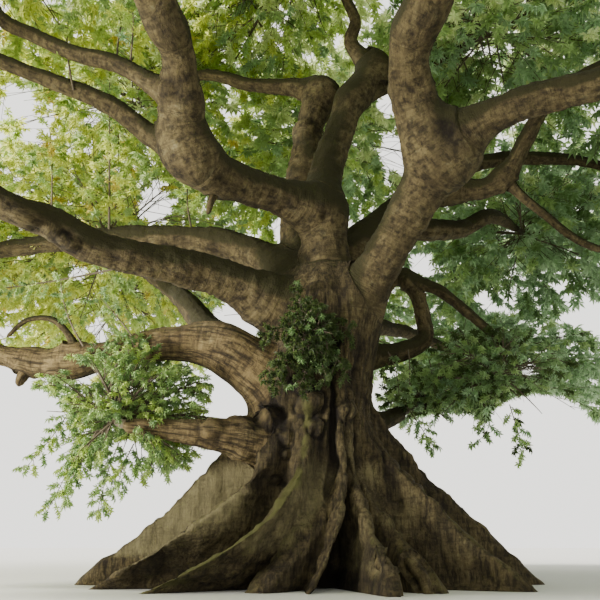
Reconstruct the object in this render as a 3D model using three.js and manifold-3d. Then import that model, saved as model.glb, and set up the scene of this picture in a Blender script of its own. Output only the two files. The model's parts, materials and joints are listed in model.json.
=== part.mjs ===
// A spreading kapok tree: a buttressed trunk, thirty-one tapering limbs, and open masses of leaf sprays.
// Millimetres and degrees, +Z up, with the origin on the flat cut under the trunk.
// A heading is the angle from +X towards +Y, and a climb is the angle above the level.
import * as THREE from "three";
import { mergeVertices } from "three/addons/utils/BufferGeometryUtils.js";
import Module from "manifold-3d";

const wasm = await Module();
wasm.setup();
const { Manifold, Mesh: ManifoldMesh } = wasm;

// The column of the trunk
const TRUNK_HEIGHT = 6250; // top of the fork, where the limbs part
const FORK_DOME = 900; // height of the rounded top inside the fork
const CORE_FOOT_RADIUS = 1380; // round core of the column, before its ribs
const CORE_WAIST_RADIUS = 1020;
const CORE_FORK_RADIUS = 930;
const WAIST_HEIGHT = 3300;
const LEAN = 260; // how far the fork stands to +X of the foot
const LEAN_START = 3400;
const LEAN_END = 5400;
const TRUNK_LEVELS = [0, 300, 750, 1250, 1800, 2400, 3100, 4000, 5350, 5850, 6250];

// The buttresses. Each one's plan turns from the heading of its toe to that of its top as it climbs.
const RIB_RISE = 1.04; // how far a rib stands out of the core above its buttress
const RIB_SHARPNESS = 3; // how square the end of a buttress is in plan
const BLEND_SHARPNESS = 6; // how tightly core and buttresses meet
const RIB_COLUMNS = [0, 0.14, 0.36, 0.64, 0.86]; // shares of the way from one buttress to the next
const BUTTRESSES = {
  right_plate: { toe: 3, top: 0, reach: 4350, height: 3500, half: 300, slope: 1.25, turn: 1.25 },
  rear_right_plate: { toe: 38, top: 40, reach: 4050, height: 3200, half: 250, slope: 1.5, turn: 1.5 },
  rear_plate: { toe: 76, top: 78, reach: 3650, height: 2800, half: 260, slope: 1.7, turn: 1.7 },
  rear_left_plate: { toe: 113, top: 112, reach: 4150, height: 3100, half: 240, slope: 1.5, turn: 1.5 },
  left_rear_plate: { toe: 149, top: 152, reach: 3900, height: 2800, half: 230, slope: 1.6, turn: 1.6 },
  left_plate: { toe: 179, top: 190, reach: 4500, height: 3500, half: 220, slope: 1.45, turn: 1.6 },
  left_fore_plate: { toe: 198, top: 236, reach: 4050, height: 2900, half: 190, slope: 1.5, turn: 2.0 },
  moss_ridge: { toe: 220, top: 264, reach: 3620, height: 3500, half: 240, slope: 2.0, turn: 2.9 },
  front_root: { toe: 252, top: 278, reach: 2200, height: 2400, half: 320, slope: 1.5, turn: 1.5 },
  hollow_left_fold: { toe: 267, top: 293, reach: 2450, height: 3300, half: 120, slope: 1.5, turn: 1.9 },
  hollow_right_fold: { toe: 289, top: 301, reach: 3200, height: 3300, half: 140, slope: 2.4, turn: 1.6 },
  right_inner_root: { toe: 311, top: 313, reach: 3000, height: 2200, half: 280, slope: 1.6, turn: 1.5 },
  right_fore_plate: { toe: 332, top: 328, reach: 4000, height: 3100, half: 300, slope: 1.35, turn: 1.35 },
};

// The hollow between the two folds at the front
const HOLLOW_HEIGHT = 1550;
const HOLLOW_FLOOR = 1000; // distance of its back from the trunk's axis
const HOLLOW_SHARE = 0.4; // half its width at the ground, as a share of the way between the folds
const HOLLOW_EDGE = 0.12;

// Clearance between neighbouring pieces
const CUT_GAP = 0.5;
const STEM_GAP = 0.3;
const MESH_TOLERANCE = 0.05; // slivers finer than this are merged

// Limbs: where each starts, its radius past the collar and at its tip, and its steps of heading, climb and
// length. A limb from the trunk starts at a foot inside it, and any other a share of the way along its parent.
const LIMB_SIDES = 6;
const RINGS_PER_STEP = 0.8;
const PATH_MARKS = 64; // fine marks along a path, from which its rings are chosen
const COLLAR_SWELL = 0.4; // extra radius where a limb leaves its parent
const COLLAR_LENGTH = 1.5; // in radii
const COLLAR_ROOT = 0.75; // radius of the end that is sunk in the parent
const TRUNK_COLLAR = 800; // how far from its foot a limb leaves the trunk
const LIMBS = {
  left_front: {
    from: "trunk", foot: [-280, -200, 5130], girth: [420, 140],
    steps: [
      [205, 20, 900], [210, 15, 1150], [210, 2, 2200], [215, 15, 1000],
      [225, 5, 900], [202, 22, 2350], [192, 26, 2550],
    ],
  },
  left_back: {
    from: "trunk", foot: [-100, 200, 5600], girth: [400, 130],
    steps: [
      [154, 48, 1400], [170, 30, 1100], [170, 12, 1250], [170, 4, 2450],
      [168, -2, 2250], [146, 10, 2700],
    ],
  },
  left_middle: {
    from: "trunk", foot: [-480, -200, 3400], girth: [420, 100],
    steps: [
      [200, 40, 850], [185, 30, 900], [180, 5, 1050], [166, -6, 1250],
      [165, -5, 1150], [168, 10, 1450], [178, 16, 3100],
    ],
  },
  left_riser: {
    from: "left_middle", along: 0.25, girth: [270, 120],
    steps: [[150, 45, 1100], [135, 45, 800], [120, 30, 1750], [130, 32, 3100]],
  },
  left_low: {
    from: "trunk", foot: [-700, -500, 2500], girth: [320, 130],
    steps: [[210, 5, 1100], [190, 5, 1000], [185, 5, 850]],
  },
  leader: {
    from: "trunk", foot: [330, 0, 5000], girth: [430, 290],
    steps: [
      [252, 84, 1650], [210, 85, 1100], [60, 75, 900], [45, 70, 1200],
      [40, 68, 1350], [28, 60, 1650],
    ],
  },
  upper_left: {
    from: "leader", along: 0.3, girth: [380, 340],
    steps: [[220, 0, 900], [215, 0, 1000], [225, 0, 900], [230, 10, 650]],
  },
  upper_left_rising: {
    from: "upper_left", along: 0.97, girth: [330, 140],
    steps: [[240, 55, 550], [275, 45, 650], [265, 40, 800], [255, 25, 950], [246, 62, 3300]],
  },
  upper_left_low: {
    from: "upper_left", along: 0.93, girth: [210, 100],
    steps: [[190, 25, 1000], [180, 40, 1000], [180, 25, 1150], [178, 24, 1350], [180, 26, 2700]],
  },
  upper_left_high: {
    from: "upper_left_rising", along: 0.34, girth: [190, 100],
    steps: [
      [190, 30, 700], [170, 35, 900], [175, 20, 850], [170, 30, 950],
      [175, 35, 1150], [140, 66, 1850],
    ],
  },
  upper_left_fore: {
    from: "upper_left_rising", along: 0.72, girth: [200, 110],
    steps: [[244, 18, 2500], [240, 0, 2150], [240, -8, 1600]],
  },
  back_leader: {
    from: "trunk", foot: [120, 300, 5200], girth: [370, 340],
    steps: [[132, 72, 2250], [90, 80, 1150], [44, 78, 1350], [40, 78, 1350], [20, 70, 950]],
  },
  leader_left: {
    from: "leader", along: 0.97, girth: [190, 100],
    steps: [[180, 55, 950], [305, 75, 700], [178, 68, 1500]],
  },
  leader_right: {
    from: "leader", along: 0.84, girth: [190, 110],
    steps: [[26, 34, 1600], [22, 40, 2800]],
  },
  back_left_high: {
    from: "back_leader", along: 0.96, girth: [240, 110],
    steps: [[165, 20, 950], [165, 15, 1150], [164, 24, 1500], [138, 12, 1700]],
  },
  rear_high: {
    from: "back_leader", along: 0.96, girth: [220, 110],
    steps: [[84, 30, 2100], [88, 18, 2000]],
  },
  right: {
    from: "trunk", foot: [500, -100, 4700], girth: [370, 450],
    steps: [[320, 50, 1200], [312, 48, 1400], [310, 45, 1100], [305, 40, 700]],
  },
  right_rising: {
    from: "right", along: 0.95, girth: [420, 160],
    steps: [
      [210, 50, 800], [240, 50, 700], [265, 40, 700], [290, 30, 850],
      [328, 62, 1550], [320, 66, 1950],
    ],
  },
  right_outer: {
    from: "right", along: 0.93, girth: [340, 150],
    steps: [
      [320, 25, 800], [325, 10, 800], [330, 0, 750], [320, -10, 750],
      [334, 2, 1950], [340, 18, 2450],
    ],
  },
  right_fore: {
    from: "right_rising", along: 0.58, girth: [220, 110],
    steps: [[296, 16, 2800], [298, 0, 1850], [298, -8, 1800]],
  },
  right_back: {
    from: "trunk", foot: [600, 400, 5300], girth: [380, 110],
    steps: [
      [56, 72, 1550], [25, 55, 800], [30, 30, 950], [25, 10, 1200],
      [30, 15, 1000], [34, 30, 1300], [60, 16, 3300],
    ],
  },
  right_mid: {
    from: "right_back", along: 0.19, girth: [330, 90],
    steps: [
      [20, 48, 1850], [356, 18, 1300], [345, -5, 800], [340, 30, 650],
      [325, 55, 900], [340, 55, 1050], [346, 34, 1500], [16, 22, 1500],
    ],
  },
  right_far: {
    from: "right_mid", along: 0.25, girth: [240, 110],
    steps: [[55, 50, 950], [35, 35, 1100], [20, 16, 1700], [20, 6, 2400], [26, -16, 1900]],
  },
  right_thin: {
    from: "right_mid", along: 0.47, girth: [110, 70],
    steps: [[5, -45, 1200], [358, -38, 1600], [348, -12, 2850]],
  },
  right_low: {
    from: "trunk", foot: [500, 500, 4550], girth: [270, 130],
    steps: [[35, 5, 850], [10, 10, 800], [10, 30, 650], [95, 85, 650], [170, 75, 600], [180, 55, 400]],
  },
  right_low_curl: {
    from: "right_low", along: 0.98, girth: [125, 80],
    steps: [[180, -15, 300], [200, -65, 650], [185, -75, 550]],
  },
  right_low_outer: {
    from: "right_low", along: 0.97, girth: [140, 85],
    steps: [[350, -25, 850], [345, -45, 950], [350, -50, 750], [290, -80, 700]],
  },
  right_stub: {
    from: "trunk", foot: [600, 550, 3050], girth: [240, 170],
    steps: [[45, 10, 1300], [45, 20, 850]],
  },
  rear_left: {
    from: "trunk", foot: [-100, 300, 5300], girth: [360, 120],
    steps: [[120, 42, 2450], [124, 26, 2700], [128, 16, 3450], [120, 4, 3150]],
  },
  rear: {
    from: "trunk", foot: [100, 300, 4900], girth: [380, 120],
    steps: [[96, 38, 2450], [92, 26, 2450], [86, 14, 3150], [84, 4, 2950]],
  },
  rear_right: {
    from: "trunk", foot: [300, 300, 4400], girth: [340, 120],
    steps: [[76, 30, 2250], [70, 20, 2250], [58, 10, 3350], [52, 0, 3500]],
  },
};

// Masses of foliage: the limb whose tip carries each, its centre, and how far it reaches along X, Y and Z
const MASSES = {
  crown_top: { on: "leader_left", at: [-600, 900, 16900], reach: [4600, 4600, 2500] },
  crown_right: { on: "leader_right", at: [5600, 2600, 14700], reach: [4700, 4700, 3100] },
  crown_rear: { on: "rear_high", at: [500, 7600, 13700], reach: [4700, 4700, 3300] },
  crown_rear_left: { on: "back_left_high", at: [-6200, 5600, 13700], reach: [4700, 4700, 3200] },
  crown_left: { on: "upper_left_high", at: [-7400, -1400, 14300], reach: [4600, 4600, 2900] },
  crown_front_left: { on: "upper_left_rising", at: [-3600, -6800, 14600], reach: [4600, 4600, 2800] },
  crown_front_right: { on: "right_rising", at: [3900, -5700, 15000], reach: [4600, 4600, 2900] },
  skirt_right_low: { on: "right_thin", at: [12400, -600, 7600], reach: [3800, 4200, 2600] },
  skirt_right: { on: "right_mid", at: [10500, 900, 12500], reach: [4500, 4500, 3200] },
  skirt_right_rear: { on: "right_far", at: [12000, 5400, 9200], reach: [4300, 4300, 3300] },
  skirt_rear_right: { on: "right_back", at: [7600, 8700, 11000], reach: [4700, 4700, 3400] },
  skirt_rear_low: { on: "rear_right", at: [7400, 12200, 7000], reach: [4400, 3800, 2600] },
  skirt_rear: { on: "rear", at: [400, 13000, 9900], reach: [4600, 4000, 3300] },
  skirt_rear_left: { on: "rear_left", at: [-7300, 11500, 9600], reach: [4600, 4400, 3300] },
  skirt_left_rear: { on: "left_back", at: [-12000, 5600, 9000], reach: [4200, 4400, 3000] },
  skirt_left_low: { on: "left_middle", at: [-12500, 400, 6600], reach: [3600, 3600, 2300] },
  skirt_left: { on: "left_front", at: [-12000, -5300, 9500], reach: [4100, 4100, 2800] },
  crown_left_low: { on: "upper_left_low", at: [-11000, -2000, 12200], reach: [4300, 4300, 2900] },
  skirt_front_left: { on: "upper_left_fore", at: [-6100, -11500, 10400], reach: [4800, 3900, 2800] },
  skirt_front_right: { on: "right_fore", at: [5500, -11600, 10600], reach: [4800, 3900, 2800] },
  skirt_right_fore: { on: "right_outer", at: [11300, -6300, 10200], reach: [4300, 4300, 2900] },
  crown_inner_left: { on: "left_riser", at: [-6300, 5200, 9300], reach: [4400, 4400, 2900] },
  low_left_sprays: { on: "left_low", at: [-4000, -300, 3300], reach: [1700, 1400, 1300] },
  low_right_sprays: { on: "right_low_outer", at: [4900, 1200, 3800], reach: [1600, 1500, 1200] },
  stub_sprays: { on: "right_stub", at: [2900, 2500, 3900], reach: [1300, 1200, 900] },
  trunk_shoots: {
    foot: [-130, -900, 4150], heading: 270, climb: 20, // grows straight from the front of the trunk
    at: [-130, -1750, 4400], reach: [700, 500, 800],
  },
};

// Twigs and leaf sprays of a mass
const SEED = 23;
const SPACE_GAP = 20; // clearance between two masses
const SMALL_REACH = 2000; // a mass of less reach is small
const TWIGS = 5;
const SMALL_TWIGS = 2;
const TWIG_SIDES = 3;
const STEM_SHARE = 0.8; // stem radius, as a share of the radius of the limb's tip
const SHOOT_RADIUS = 45; // stem radius of a mass that grows from the trunk
const STEM_TAPER = 0.35;
const TWIG_SHARE = 0.6; // twig radius, as a share of the stem's
const TWIG_TAPER = 0.4;
const TWIG_MARKS = [0, 8, 64]; // a twig is thin where it is sunk in the stem
const LEAF_LENGTH = 2900;
const LEAF_REACH_SHARE = 0.76; // a leaf is never longer than this share of the reach of its mass
const LEAF_WIDTH = 0.62; // in leaf lengths
const LEAF_THICKNESS = 0.028;
const LEAF_SUNK = 0.9; // depth of a leaf's root past the axis of its twig, in twig radii
const SPRAY_PLACES = [1, 0.78, 0.5]; // places of the leaves along a twig
const SPRAY_TURN = 58; // angle between a side leaf and its twig
const LEAF_TRIES = 10;
const SPHERE_STEPS = [0.7548776662, 0.569840291]; // these spread any number of directions evenly

// Colours
const BARK_COLOUR = 0x8a7f6c;
const FOLIAGE_COLOUR = 0x74933f;

const UP = new THREE.Vector3(0, 0, 1);
const radians = THREE.MathUtils.degToRad;
const fraction = (value) => value - Math.floor(value);

function direction(heading, climb) {
  const level = Math.cos(radians(climb));
  const turn = radians(heading);
  return new THREE.Vector3(Math.cos(turn) * level, Math.sin(turn) * level, Math.sin(radians(climb)));
}

function seededRandom(seed) {
  let state = seed;
  return () => {
    state = (state + 0x6d2b79f5) | 0;
    let mixed = Math.imul(state ^ (state >>> 15), 1 | state);
    mixed = (mixed + Math.imul(mixed ^ (mixed >>> 7), 61 | mixed)) ^ mixed;
    return ((mixed ^ (mixed >>> 14)) >>> 0) / 4294967296;
  };
}

// Solids and geometry

function toSolid(geometry) {
  geometry.deleteAttribute("normal");
  geometry.deleteAttribute("uv");
  const merged = mergeVertices(geometry, 1e-3);
  return new Manifold(
    new ManifoldMesh({
      numProp: 3,
      vertProperties: new Float32Array(merged.attributes.position.array),
      triVerts: new Uint32Array(merged.index.array),
    }),
  );
}

function toGeometry(solid) {
  const mesh = solid.simplify(MESH_TOLERANCE).getMesh();
  const geometry = new THREE.BufferGeometry();
  geometry.setAttribute("position", new THREE.BufferAttribute(mesh.vertProperties.slice(), 3));
  geometry.setIndex(new THREE.BufferAttribute(mesh.triVerts.slice(), 1));
  geometry.computeVertexNormals();
  return geometry;
}

function largestPiece(solid) {
  const pieces = solid.decompose();
  return pieces.reduce((best, piece) => (piece.volume() > best.volume() ? piece : best));
}

// A cylinder whose points are moved: place(side, ring, onAxis) gives the new place of each
function mouldCylinder(sides, rings, place) {
  const shape = new THREE.CylinderGeometry(1, 1, 1, sides, rings);
  const position = shape.attributes.position;
  for (let i = 0; i < position.count; i += 1) {
    const turn = Math.atan2(position.getX(i), position.getZ(i)) / (2 * Math.PI);
    const side = (Math.round(turn * sides) + sides) % sides;
    const ring = Math.round((position.getY(i) + 0.5) * rings);
    const onAxis = Math.hypot(position.getX(i), position.getZ(i)) < 0.5;
    position.setXYZ(i, ...place(side, ring, onAxis).toArray());
  }
  return toSolid(shape);
}

// The trunk

const ribs = Object.values(BUTTRESSES);

function coreRadius(z) {
  if (z > WAIST_HEIGHT) {
    const rise = THREE.MathUtils.clamp((z - WAIST_HEIGHT) / (TRUNK_HEIGHT - FORK_DOME - WAIST_HEIGHT), 0, 1);
    return THREE.MathUtils.lerp(CORE_WAIST_RADIUS, CORE_FORK_RADIUS, rise);
  }
  const drop = 1 - z / WAIST_HEIGHT;
  return CORE_WAIST_RADIUS + (CORE_FOOT_RADIUS - CORE_WAIST_RADIUS) * drop ** 1.6;
}

function ribAt(rib, z) {
  const drop = Math.max(0, 1 - z / rib.height);
  const flush = coreRadius(z) * RIB_RISE;
  return {
    heading: rib.top + (rib.toe - rib.top) * drop ** rib.turn,
    reach: flush + (rib.reach - flush) * drop ** rib.slope,
  };
}

function hollowShare(heading, z) {
  const left = ribAt(BUTTRESSES.hollow_left_fold, z).heading;
  const right = ribAt(BUTTRESSES.hollow_right_fold, z).heading;
  const rise = z / HOLLOW_HEIGHT;
  if (rise >= 1) return 0;
  const half = HOLLOW_SHARE * (1 - rise * rise);
  const away = Math.abs((heading - left) / (right - left) - 0.5);
  return 1 - THREE.MathUtils.smoothstep(away, half, half + HOLLOW_EDGE);
}

function trunkRadius(heading, z) {
  let sum = coreRadius(z) ** BLEND_SHARPNESS;
  for (const rib of ribs) {
    const { heading: middle, reach } = ribAt(rib, z);
    const turn = radians(heading - middle);
    if (Math.cos(turn) > 0) {
      const along = Math.cos(turn) / reach;
      const across = Math.abs(Math.sin(turn)) / rib.half;
      sum += (along ** RIB_SHARPNESS + across ** RIB_SHARPNESS) ** (-BLEND_SHARPNESS / RIB_SHARPNESS);
    }
  }
  const radius = sum ** (1 / BLEND_SHARPNESS);
  return radius - Math.max(0, radius - HOLLOW_FLOOR) * hollowShare(heading, z);
}

function columnHeading(column, z) {
  const rib = Math.floor(column / RIB_COLUMNS.length);
  const start = ribAt(ribs[rib], z).heading;
  const next = rib + 1 < ribs.length ? ribAt(ribs[rib + 1], z).heading : ribAt(ribs[0], z).heading + 360;
  return start + (next - start) * RIB_COLUMNS[column % RIB_COLUMNS.length];
}

function trunkSolid(grow) {
  return mouldCylinder(ribs.length * RIB_COLUMNS.length, TRUNK_LEVELS.length - 1, (column, level, onAxis) => {
    const z = TRUNK_LEVELS[level];
    const inDome = THREE.MathUtils.clamp((z - (TRUNK_HEIGHT - FORK_DOME)) / FORK_DOME, 0, 0.98);
    const heading = columnHeading(column, z);
    const radius = onAxis ? 0 : trunkRadius(heading, z) * Math.sqrt(1 - inDome * inDome) + grow;
    const lean = LEAN * THREE.MathUtils.smoothstep(z, LEAN_START, LEAN_END);
    const place = direction(heading, 0).multiplyScalar(radius);
    const lift = level === 0 ? -grow : level === TRUNK_LEVELS.length - 1 ? grow : 0;
    return place.add(new THREE.Vector3(lean, 0, z + lift));
  });
}

// Limbs

const paths = {};
for (const [name, { from, foot, along, steps }] of Object.entries(LIMBS)) {
  const here = from === "trunk" ? new THREE.Vector3(...foot) : paths[from].getPoint(along);
  const points = [here.clone()];
  for (const [heading, climb, length] of steps) {
    here.addScaledVector(direction(heading, climb), length);
    points.push(here.clone());
  }
  paths[name] = new THREE.CatmullRomCurve3(points, false, "catmullrom", 0.5);
}

// A tapering tube along a path, with rings at the given marks
function tubeSolid(path, sides, marks, radiusAt, grow = 0) {
  const frames = path.computeFrenetFrames(PATH_MARKS, false);
  return mouldCylinder(sides, marks.length - 1, (side, ring, onAxis) => {
    const mark = marks[ring];
    const place = path.getPointAt(mark / PATH_MARKS);
    if (!onAxis) {
      const turn = (side / sides) * 2 * Math.PI;
      const radius = radiusAt(mark / PATH_MARKS) + grow;
      place.addScaledVector(frames.normals[mark], Math.cos(turn) * radius);
      place.addScaledVector(frames.binormals[mark], Math.sin(turn) * radius);
    }
    if (ring === 0) place.addScaledVector(frames.tangents[mark], -grow);
    if (ring === marks.length - 1) place.addScaledVector(frames.tangents[mark], grow);
    return place;
  });
}

function limbSolid(name, grow) {
  const { from, steps, girth } = LIMBS[name];
  const [thick, thin] = girth;
  const path = paths[name];
  const length = path.getLength();
  const leaves = from === "trunk" ? TRUNK_COLLAR : LIMBS[from].girth[0] * 0.9;
  const collar = Math.max(1, Math.round((leaves / length) * PATH_MARKS));
  const settled = collar + Math.max(2, Math.round(((COLLAR_LENGTH * thick) / length) * PATH_MARKS));
  const rest = Math.max(2, Math.round((1 - settled / PATH_MARKS) * steps.length * RINGS_PER_STEP + 1));
  const marks = [0, collar];
  for (let i = 0; i <= rest; i += 1) {
    marks.push(Math.round(settled + (PATH_MARKS - settled) * (i / rest)));
  }
  const radiusAt = (share) => {
    if (share === 0) return thick * COLLAR_ROOT;
    const past = Math.max(0, share * length - leaves) / (COLLAR_LENGTH * thick);
    return THREE.MathUtils.lerp(thick, thin, share) + thick * COLLAR_SWELL * Math.exp(-past);
  };
  return tubeSolid(path, LIMB_SIDES, marks, radiusAt, grow);
}

// Wood: each limb is cut clear of the trunk and of the limbs before it
const wood = { trunk: trunkSolid(0) };
const grownWood = [trunkSolid(CUT_GAP)];
for (const name of Object.keys(LIMBS)) {
  const cut = grownWood.reduce((solid, earlier) => solid.subtract(earlier), limbSolid(name, 0));
  wood[name] = largestPiece(cut);
  grownWood.push(limbSolid(name, CUT_GAP));
}

// Masses

function stemPath(mass) {
  const centre = new THREE.Vector3(...mass.at);
  const limb = paths[mass.on];
  const leaving = limb ? limb.getTangentAt(1) : direction(mass.heading, mass.climb);
  const foot = limb ? limb.getPointAt(1).addScaledVector(leaving, STEM_GAP) : new THREE.Vector3(...mass.foot);
  const bend = foot.clone().addScaledVector(leaving, foot.distanceTo(centre) * 0.45);
  return new THREE.QuadraticBezierCurve3(foot, bend, centre);
}

function stemRadius(mass) {
  return mass.on === undefined ? SHOOT_RADIUS : LIMBS[mass.on].girth[1] * STEM_SHARE;
}

function stemSolid(mass) {
  const radius = stemRadius(mass);
  const marks = [0, PATH_MARKS / 2, PATH_MARKS];
  return tubeSolid(stemPath(mass), TWIG_SIDES, marks, (share) => radius * (1 - STEM_TAPER * share));
}

function leafSolid(root, outward, up, length, sunk) {
  const along = outward.clone().normalize();
  const across = new THREE.Vector3().crossVectors(up, along).normalize();
  const normal = new THREE.Vector3().crossVectors(along, across);
  const shape = new THREE.OctahedronGeometry(1);
  shape.scale(length / 2, (length * LEAF_WIDTH) / 2, (length * LEAF_THICKNESS) / 2);
  shape.translate(length / 2 - sunk, 0, 0);
  shape.applyMatrix4(new THREE.Matrix4().makeBasis(along, across, normal).setPosition(root));
  return toSolid(shape);
}

// The space of a mass: its own ellipsoid, on its own side of the planes that part it from its neighbours
function spaceTest(mass) {
  const centre = new THREE.Vector3(...mass.at);
  const size = new THREE.Vector3(...mass.reach);
  const walls = Object.values(MASSES)
    .filter((other) => other !== mass)
    .map((other) => {
      const away = new THREE.Vector3(...other.at).sub(centre);
      const distance = away.length();
      const own = (size.x + size.y) / 2;
      const theirs = (other.reach[0] + other.reach[1]) / 2;
      const limit = (distance ** 2 + own ** 2 - theirs ** 2) / (2 * distance) - SPACE_GAP / 2;
      return { away: away.divideScalar(distance), limit };
    });
  return (point) => {
    const offset = point.clone().sub(centre);
    if (offset.clone().divide(size).length() > 1) return false;
    return walls.every(({ away, limit }) => offset.dot(away) < limit);
  };
}

function cornersOf(solid) {
  const { vertProperties, numVert } = solid.getMesh();
  return Array.from({ length: numVert }, (_, i) => new THREE.Vector3().fromArray(vertProperties, i * 3));
}

function growMass(mass, index, stems) {
  const chance = seededRandom(SEED + index);
  const small = mass.reach[0] < SMALL_REACH;
  const centre = new THREE.Vector3(...mass.at);
  const size = new THREE.Vector3(...mass.reach);
  const stem = stemPath(mass);
  const isInside = spaceTest(mass);
  const obstacles = Manifold.union([...grownWood, ...stems.filter((_, other) => other !== index)]);
  const fits = (solid) => cornersOf(solid).every(isInside) && solid.intersect(obstacles).isEmpty();
  const leafLength = Math.min(LEAF_LENGTH, mass.reach[0] * LEAF_REACH_SHARE);
  const twigRadius = stemRadius(mass) * TWIG_SHARE;
  const pieces = [];

  // A leaf that does not fit, or meets another, is tried again, turned and shorter, before it is left out
  const addLeaf = (twig, root, outward) => {
    for (let attempt = 0; attempt < LEAF_TRIES; attempt += 1) {
      const up = new THREE.Vector3(chance() - 0.5, chance() - 0.5, 0.15 + 0.7 * chance());
      const lean = new THREE.Vector3(chance() - 0.5, chance() - 0.5, chance() - 0.5);
      const turned = outward.clone().addScaledVector(lean, 0.2 + attempt * 0.25);
      const leaf = leafSolid(root, turned, up, leafLength * (1 - 0.06 * attempt), twigRadius * LEAF_SUNK);
      const isClear = pieces.every((piece) => piece === twig || piece.intersect(leaf).isEmpty());
      if (isClear && fits(leaf)) {
        pieces.push(leaf);
        return;
      }
    }
  };

  const twigCount = small ? SMALL_TWIGS : TWIGS;
  for (let i = 0; i < twigCount; i += 1) {
    const height = 1 - 2 * fraction(0.5 + i * SPHERE_STEPS[0]);
    const turn = 2 * Math.PI * fraction(index * 0.37 + i * SPHERE_STEPS[1]);
    const ring = Math.sqrt(1 - height * height);
    const outward = new THREE.Vector3(Math.cos(turn) * ring, Math.sin(turn) * ring, height);
    const edge = outward.clone().multiply(size).multiplyScalar(0.97).add(centre);
    const start = stem.getPointAt(0.45 + 0.5 * fraction(i * 0.618));
    const reach = edge.distanceTo(start);
    const end = start.clone().lerp(edge, Math.max(0.25, 1 - (0.82 * leafLength) / reach));
    const bend = start.clone().lerp(end, 0.5);
    bend.z += reach * 0.06;
    const path = new THREE.QuadraticBezierCurve3(start, bend, end);
    const radiusAt = (share) => twigRadius * (share === 0 ? 1 - TWIG_TAPER : 1 - TWIG_TAPER * share);
    const twig = tubeSolid(path, TWIG_SIDES, TWIG_MARKS, radiusAt);
    if (!fits(twig)) continue;
    pieces.push(twig);
    SPRAY_PLACES.forEach((place, order) => {
      const along = path.getTangentAt(place);
      const turned = place < 1 ? radians(order % 2 ? SPRAY_TURN : -SPRAY_TURN) : 0;
      addLeaf(twig, path.getPointAt(place), along.applyAxisAngle(UP, turned));
    });
  }
  const grown = Manifold.union([stems[index], ...pieces]);
  return largestPiece(mass.on === undefined ? grown.subtract(grownWood[0]) : grown);
}

// The finished tree: one named mesh for the trunk, each limb and each mass

function addPiece(group, name, solid, colour) {
  const material = new THREE.MeshStandardMaterial({ color: colour, roughness: 0.9, metalness: 0 });
  const piece = new THREE.Mesh(toGeometry(solid), material);
  piece.name = name;
  group.add(piece);
}

const tree = new THREE.Group();
tree.name = "kapok_tree";
for (const [name, solid] of Object.entries(wood)) {
  addPiece(tree, name, solid, BARK_COLOUR);
}
const stems = Object.values(MASSES).map(stemSolid);
Object.entries(MASSES).forEach(([name, mass], index) => {
  addPiece(tree, name, growMass(mass, index, stems), FOLIAGE_COLOUR);
});

export default tree;
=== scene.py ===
"""A spreading kapok tree in metres, +Z up: buttressed trunk, tapering boughs, twigs and sprays of leaves."""

import json
import logging
import math
from collections.abc import Mapping, Sequence
from dataclasses import dataclass, field, replace
from enum import Enum, IntEnum
from itertools import product

import bpy
import numpy as np
from bpy.types import Material, Mesh, Node, NodeSocket, NodeTree, Object
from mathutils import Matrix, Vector

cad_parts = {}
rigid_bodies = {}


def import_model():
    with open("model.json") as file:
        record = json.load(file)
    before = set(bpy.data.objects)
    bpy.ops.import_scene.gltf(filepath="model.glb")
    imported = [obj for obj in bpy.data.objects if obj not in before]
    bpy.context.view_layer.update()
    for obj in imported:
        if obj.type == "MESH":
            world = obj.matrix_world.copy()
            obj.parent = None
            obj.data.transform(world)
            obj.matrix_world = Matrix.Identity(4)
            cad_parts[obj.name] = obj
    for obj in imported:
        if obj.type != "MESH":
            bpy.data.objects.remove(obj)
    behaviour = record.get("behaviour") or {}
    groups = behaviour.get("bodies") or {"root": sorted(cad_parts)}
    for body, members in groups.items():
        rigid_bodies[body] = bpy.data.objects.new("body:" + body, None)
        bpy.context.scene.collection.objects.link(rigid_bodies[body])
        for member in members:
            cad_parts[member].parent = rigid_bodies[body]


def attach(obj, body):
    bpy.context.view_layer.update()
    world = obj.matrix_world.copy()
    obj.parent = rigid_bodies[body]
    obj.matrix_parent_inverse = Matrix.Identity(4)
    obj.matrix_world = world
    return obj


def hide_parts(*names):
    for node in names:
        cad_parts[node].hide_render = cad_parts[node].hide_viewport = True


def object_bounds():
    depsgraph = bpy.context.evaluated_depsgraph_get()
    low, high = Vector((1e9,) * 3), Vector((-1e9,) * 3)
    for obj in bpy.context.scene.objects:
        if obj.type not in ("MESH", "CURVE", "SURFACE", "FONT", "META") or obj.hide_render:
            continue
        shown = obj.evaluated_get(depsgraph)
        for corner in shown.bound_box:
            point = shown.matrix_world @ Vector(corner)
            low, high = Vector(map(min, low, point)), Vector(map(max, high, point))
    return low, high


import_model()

Array = np.ndarray
log = logging.getLogger("kapok_tree")
CAD_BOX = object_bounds()
BODY = "root"
UP = np.array([0.0, 0.0, 1.0])


class Slot(Enum):
    """The finish that a piece takes from the record."""

    BARK = "bark"
    FOLIAGE = "foliage"


class Grain(Enum):
    """What the bark's pattern follows."""

    PLACE = "place"
    LIMB = "limb"


# Small sums on arrays


def unit(vectors: Array) -> Array:
    """Vectors brought to length one."""
    length = np.linalg.norm(vectors, axis=-1, keepdims=True)
    return vectors / np.maximum(length, 1e-9)


def smooth(value: Array | float, low: float, high: float) -> Array:
    """A soft step from 0 at low to 1 at high."""
    share = np.clip((np.asarray(value, float) - low) / (high - low), 0.0, 1.0)
    return share * share * (3.0 - 2.0 * share)


def heading_of(degrees: float, climb: float) -> Array:
    """The direction of a heading from +X towards +Y, and a climb above the level, both in degrees."""
    turn, rise = math.radians(degrees), math.radians(climb)
    return np.array([math.cos(turn) * math.cos(rise), math.sin(turn) * math.cos(rise), math.sin(rise)])


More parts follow.
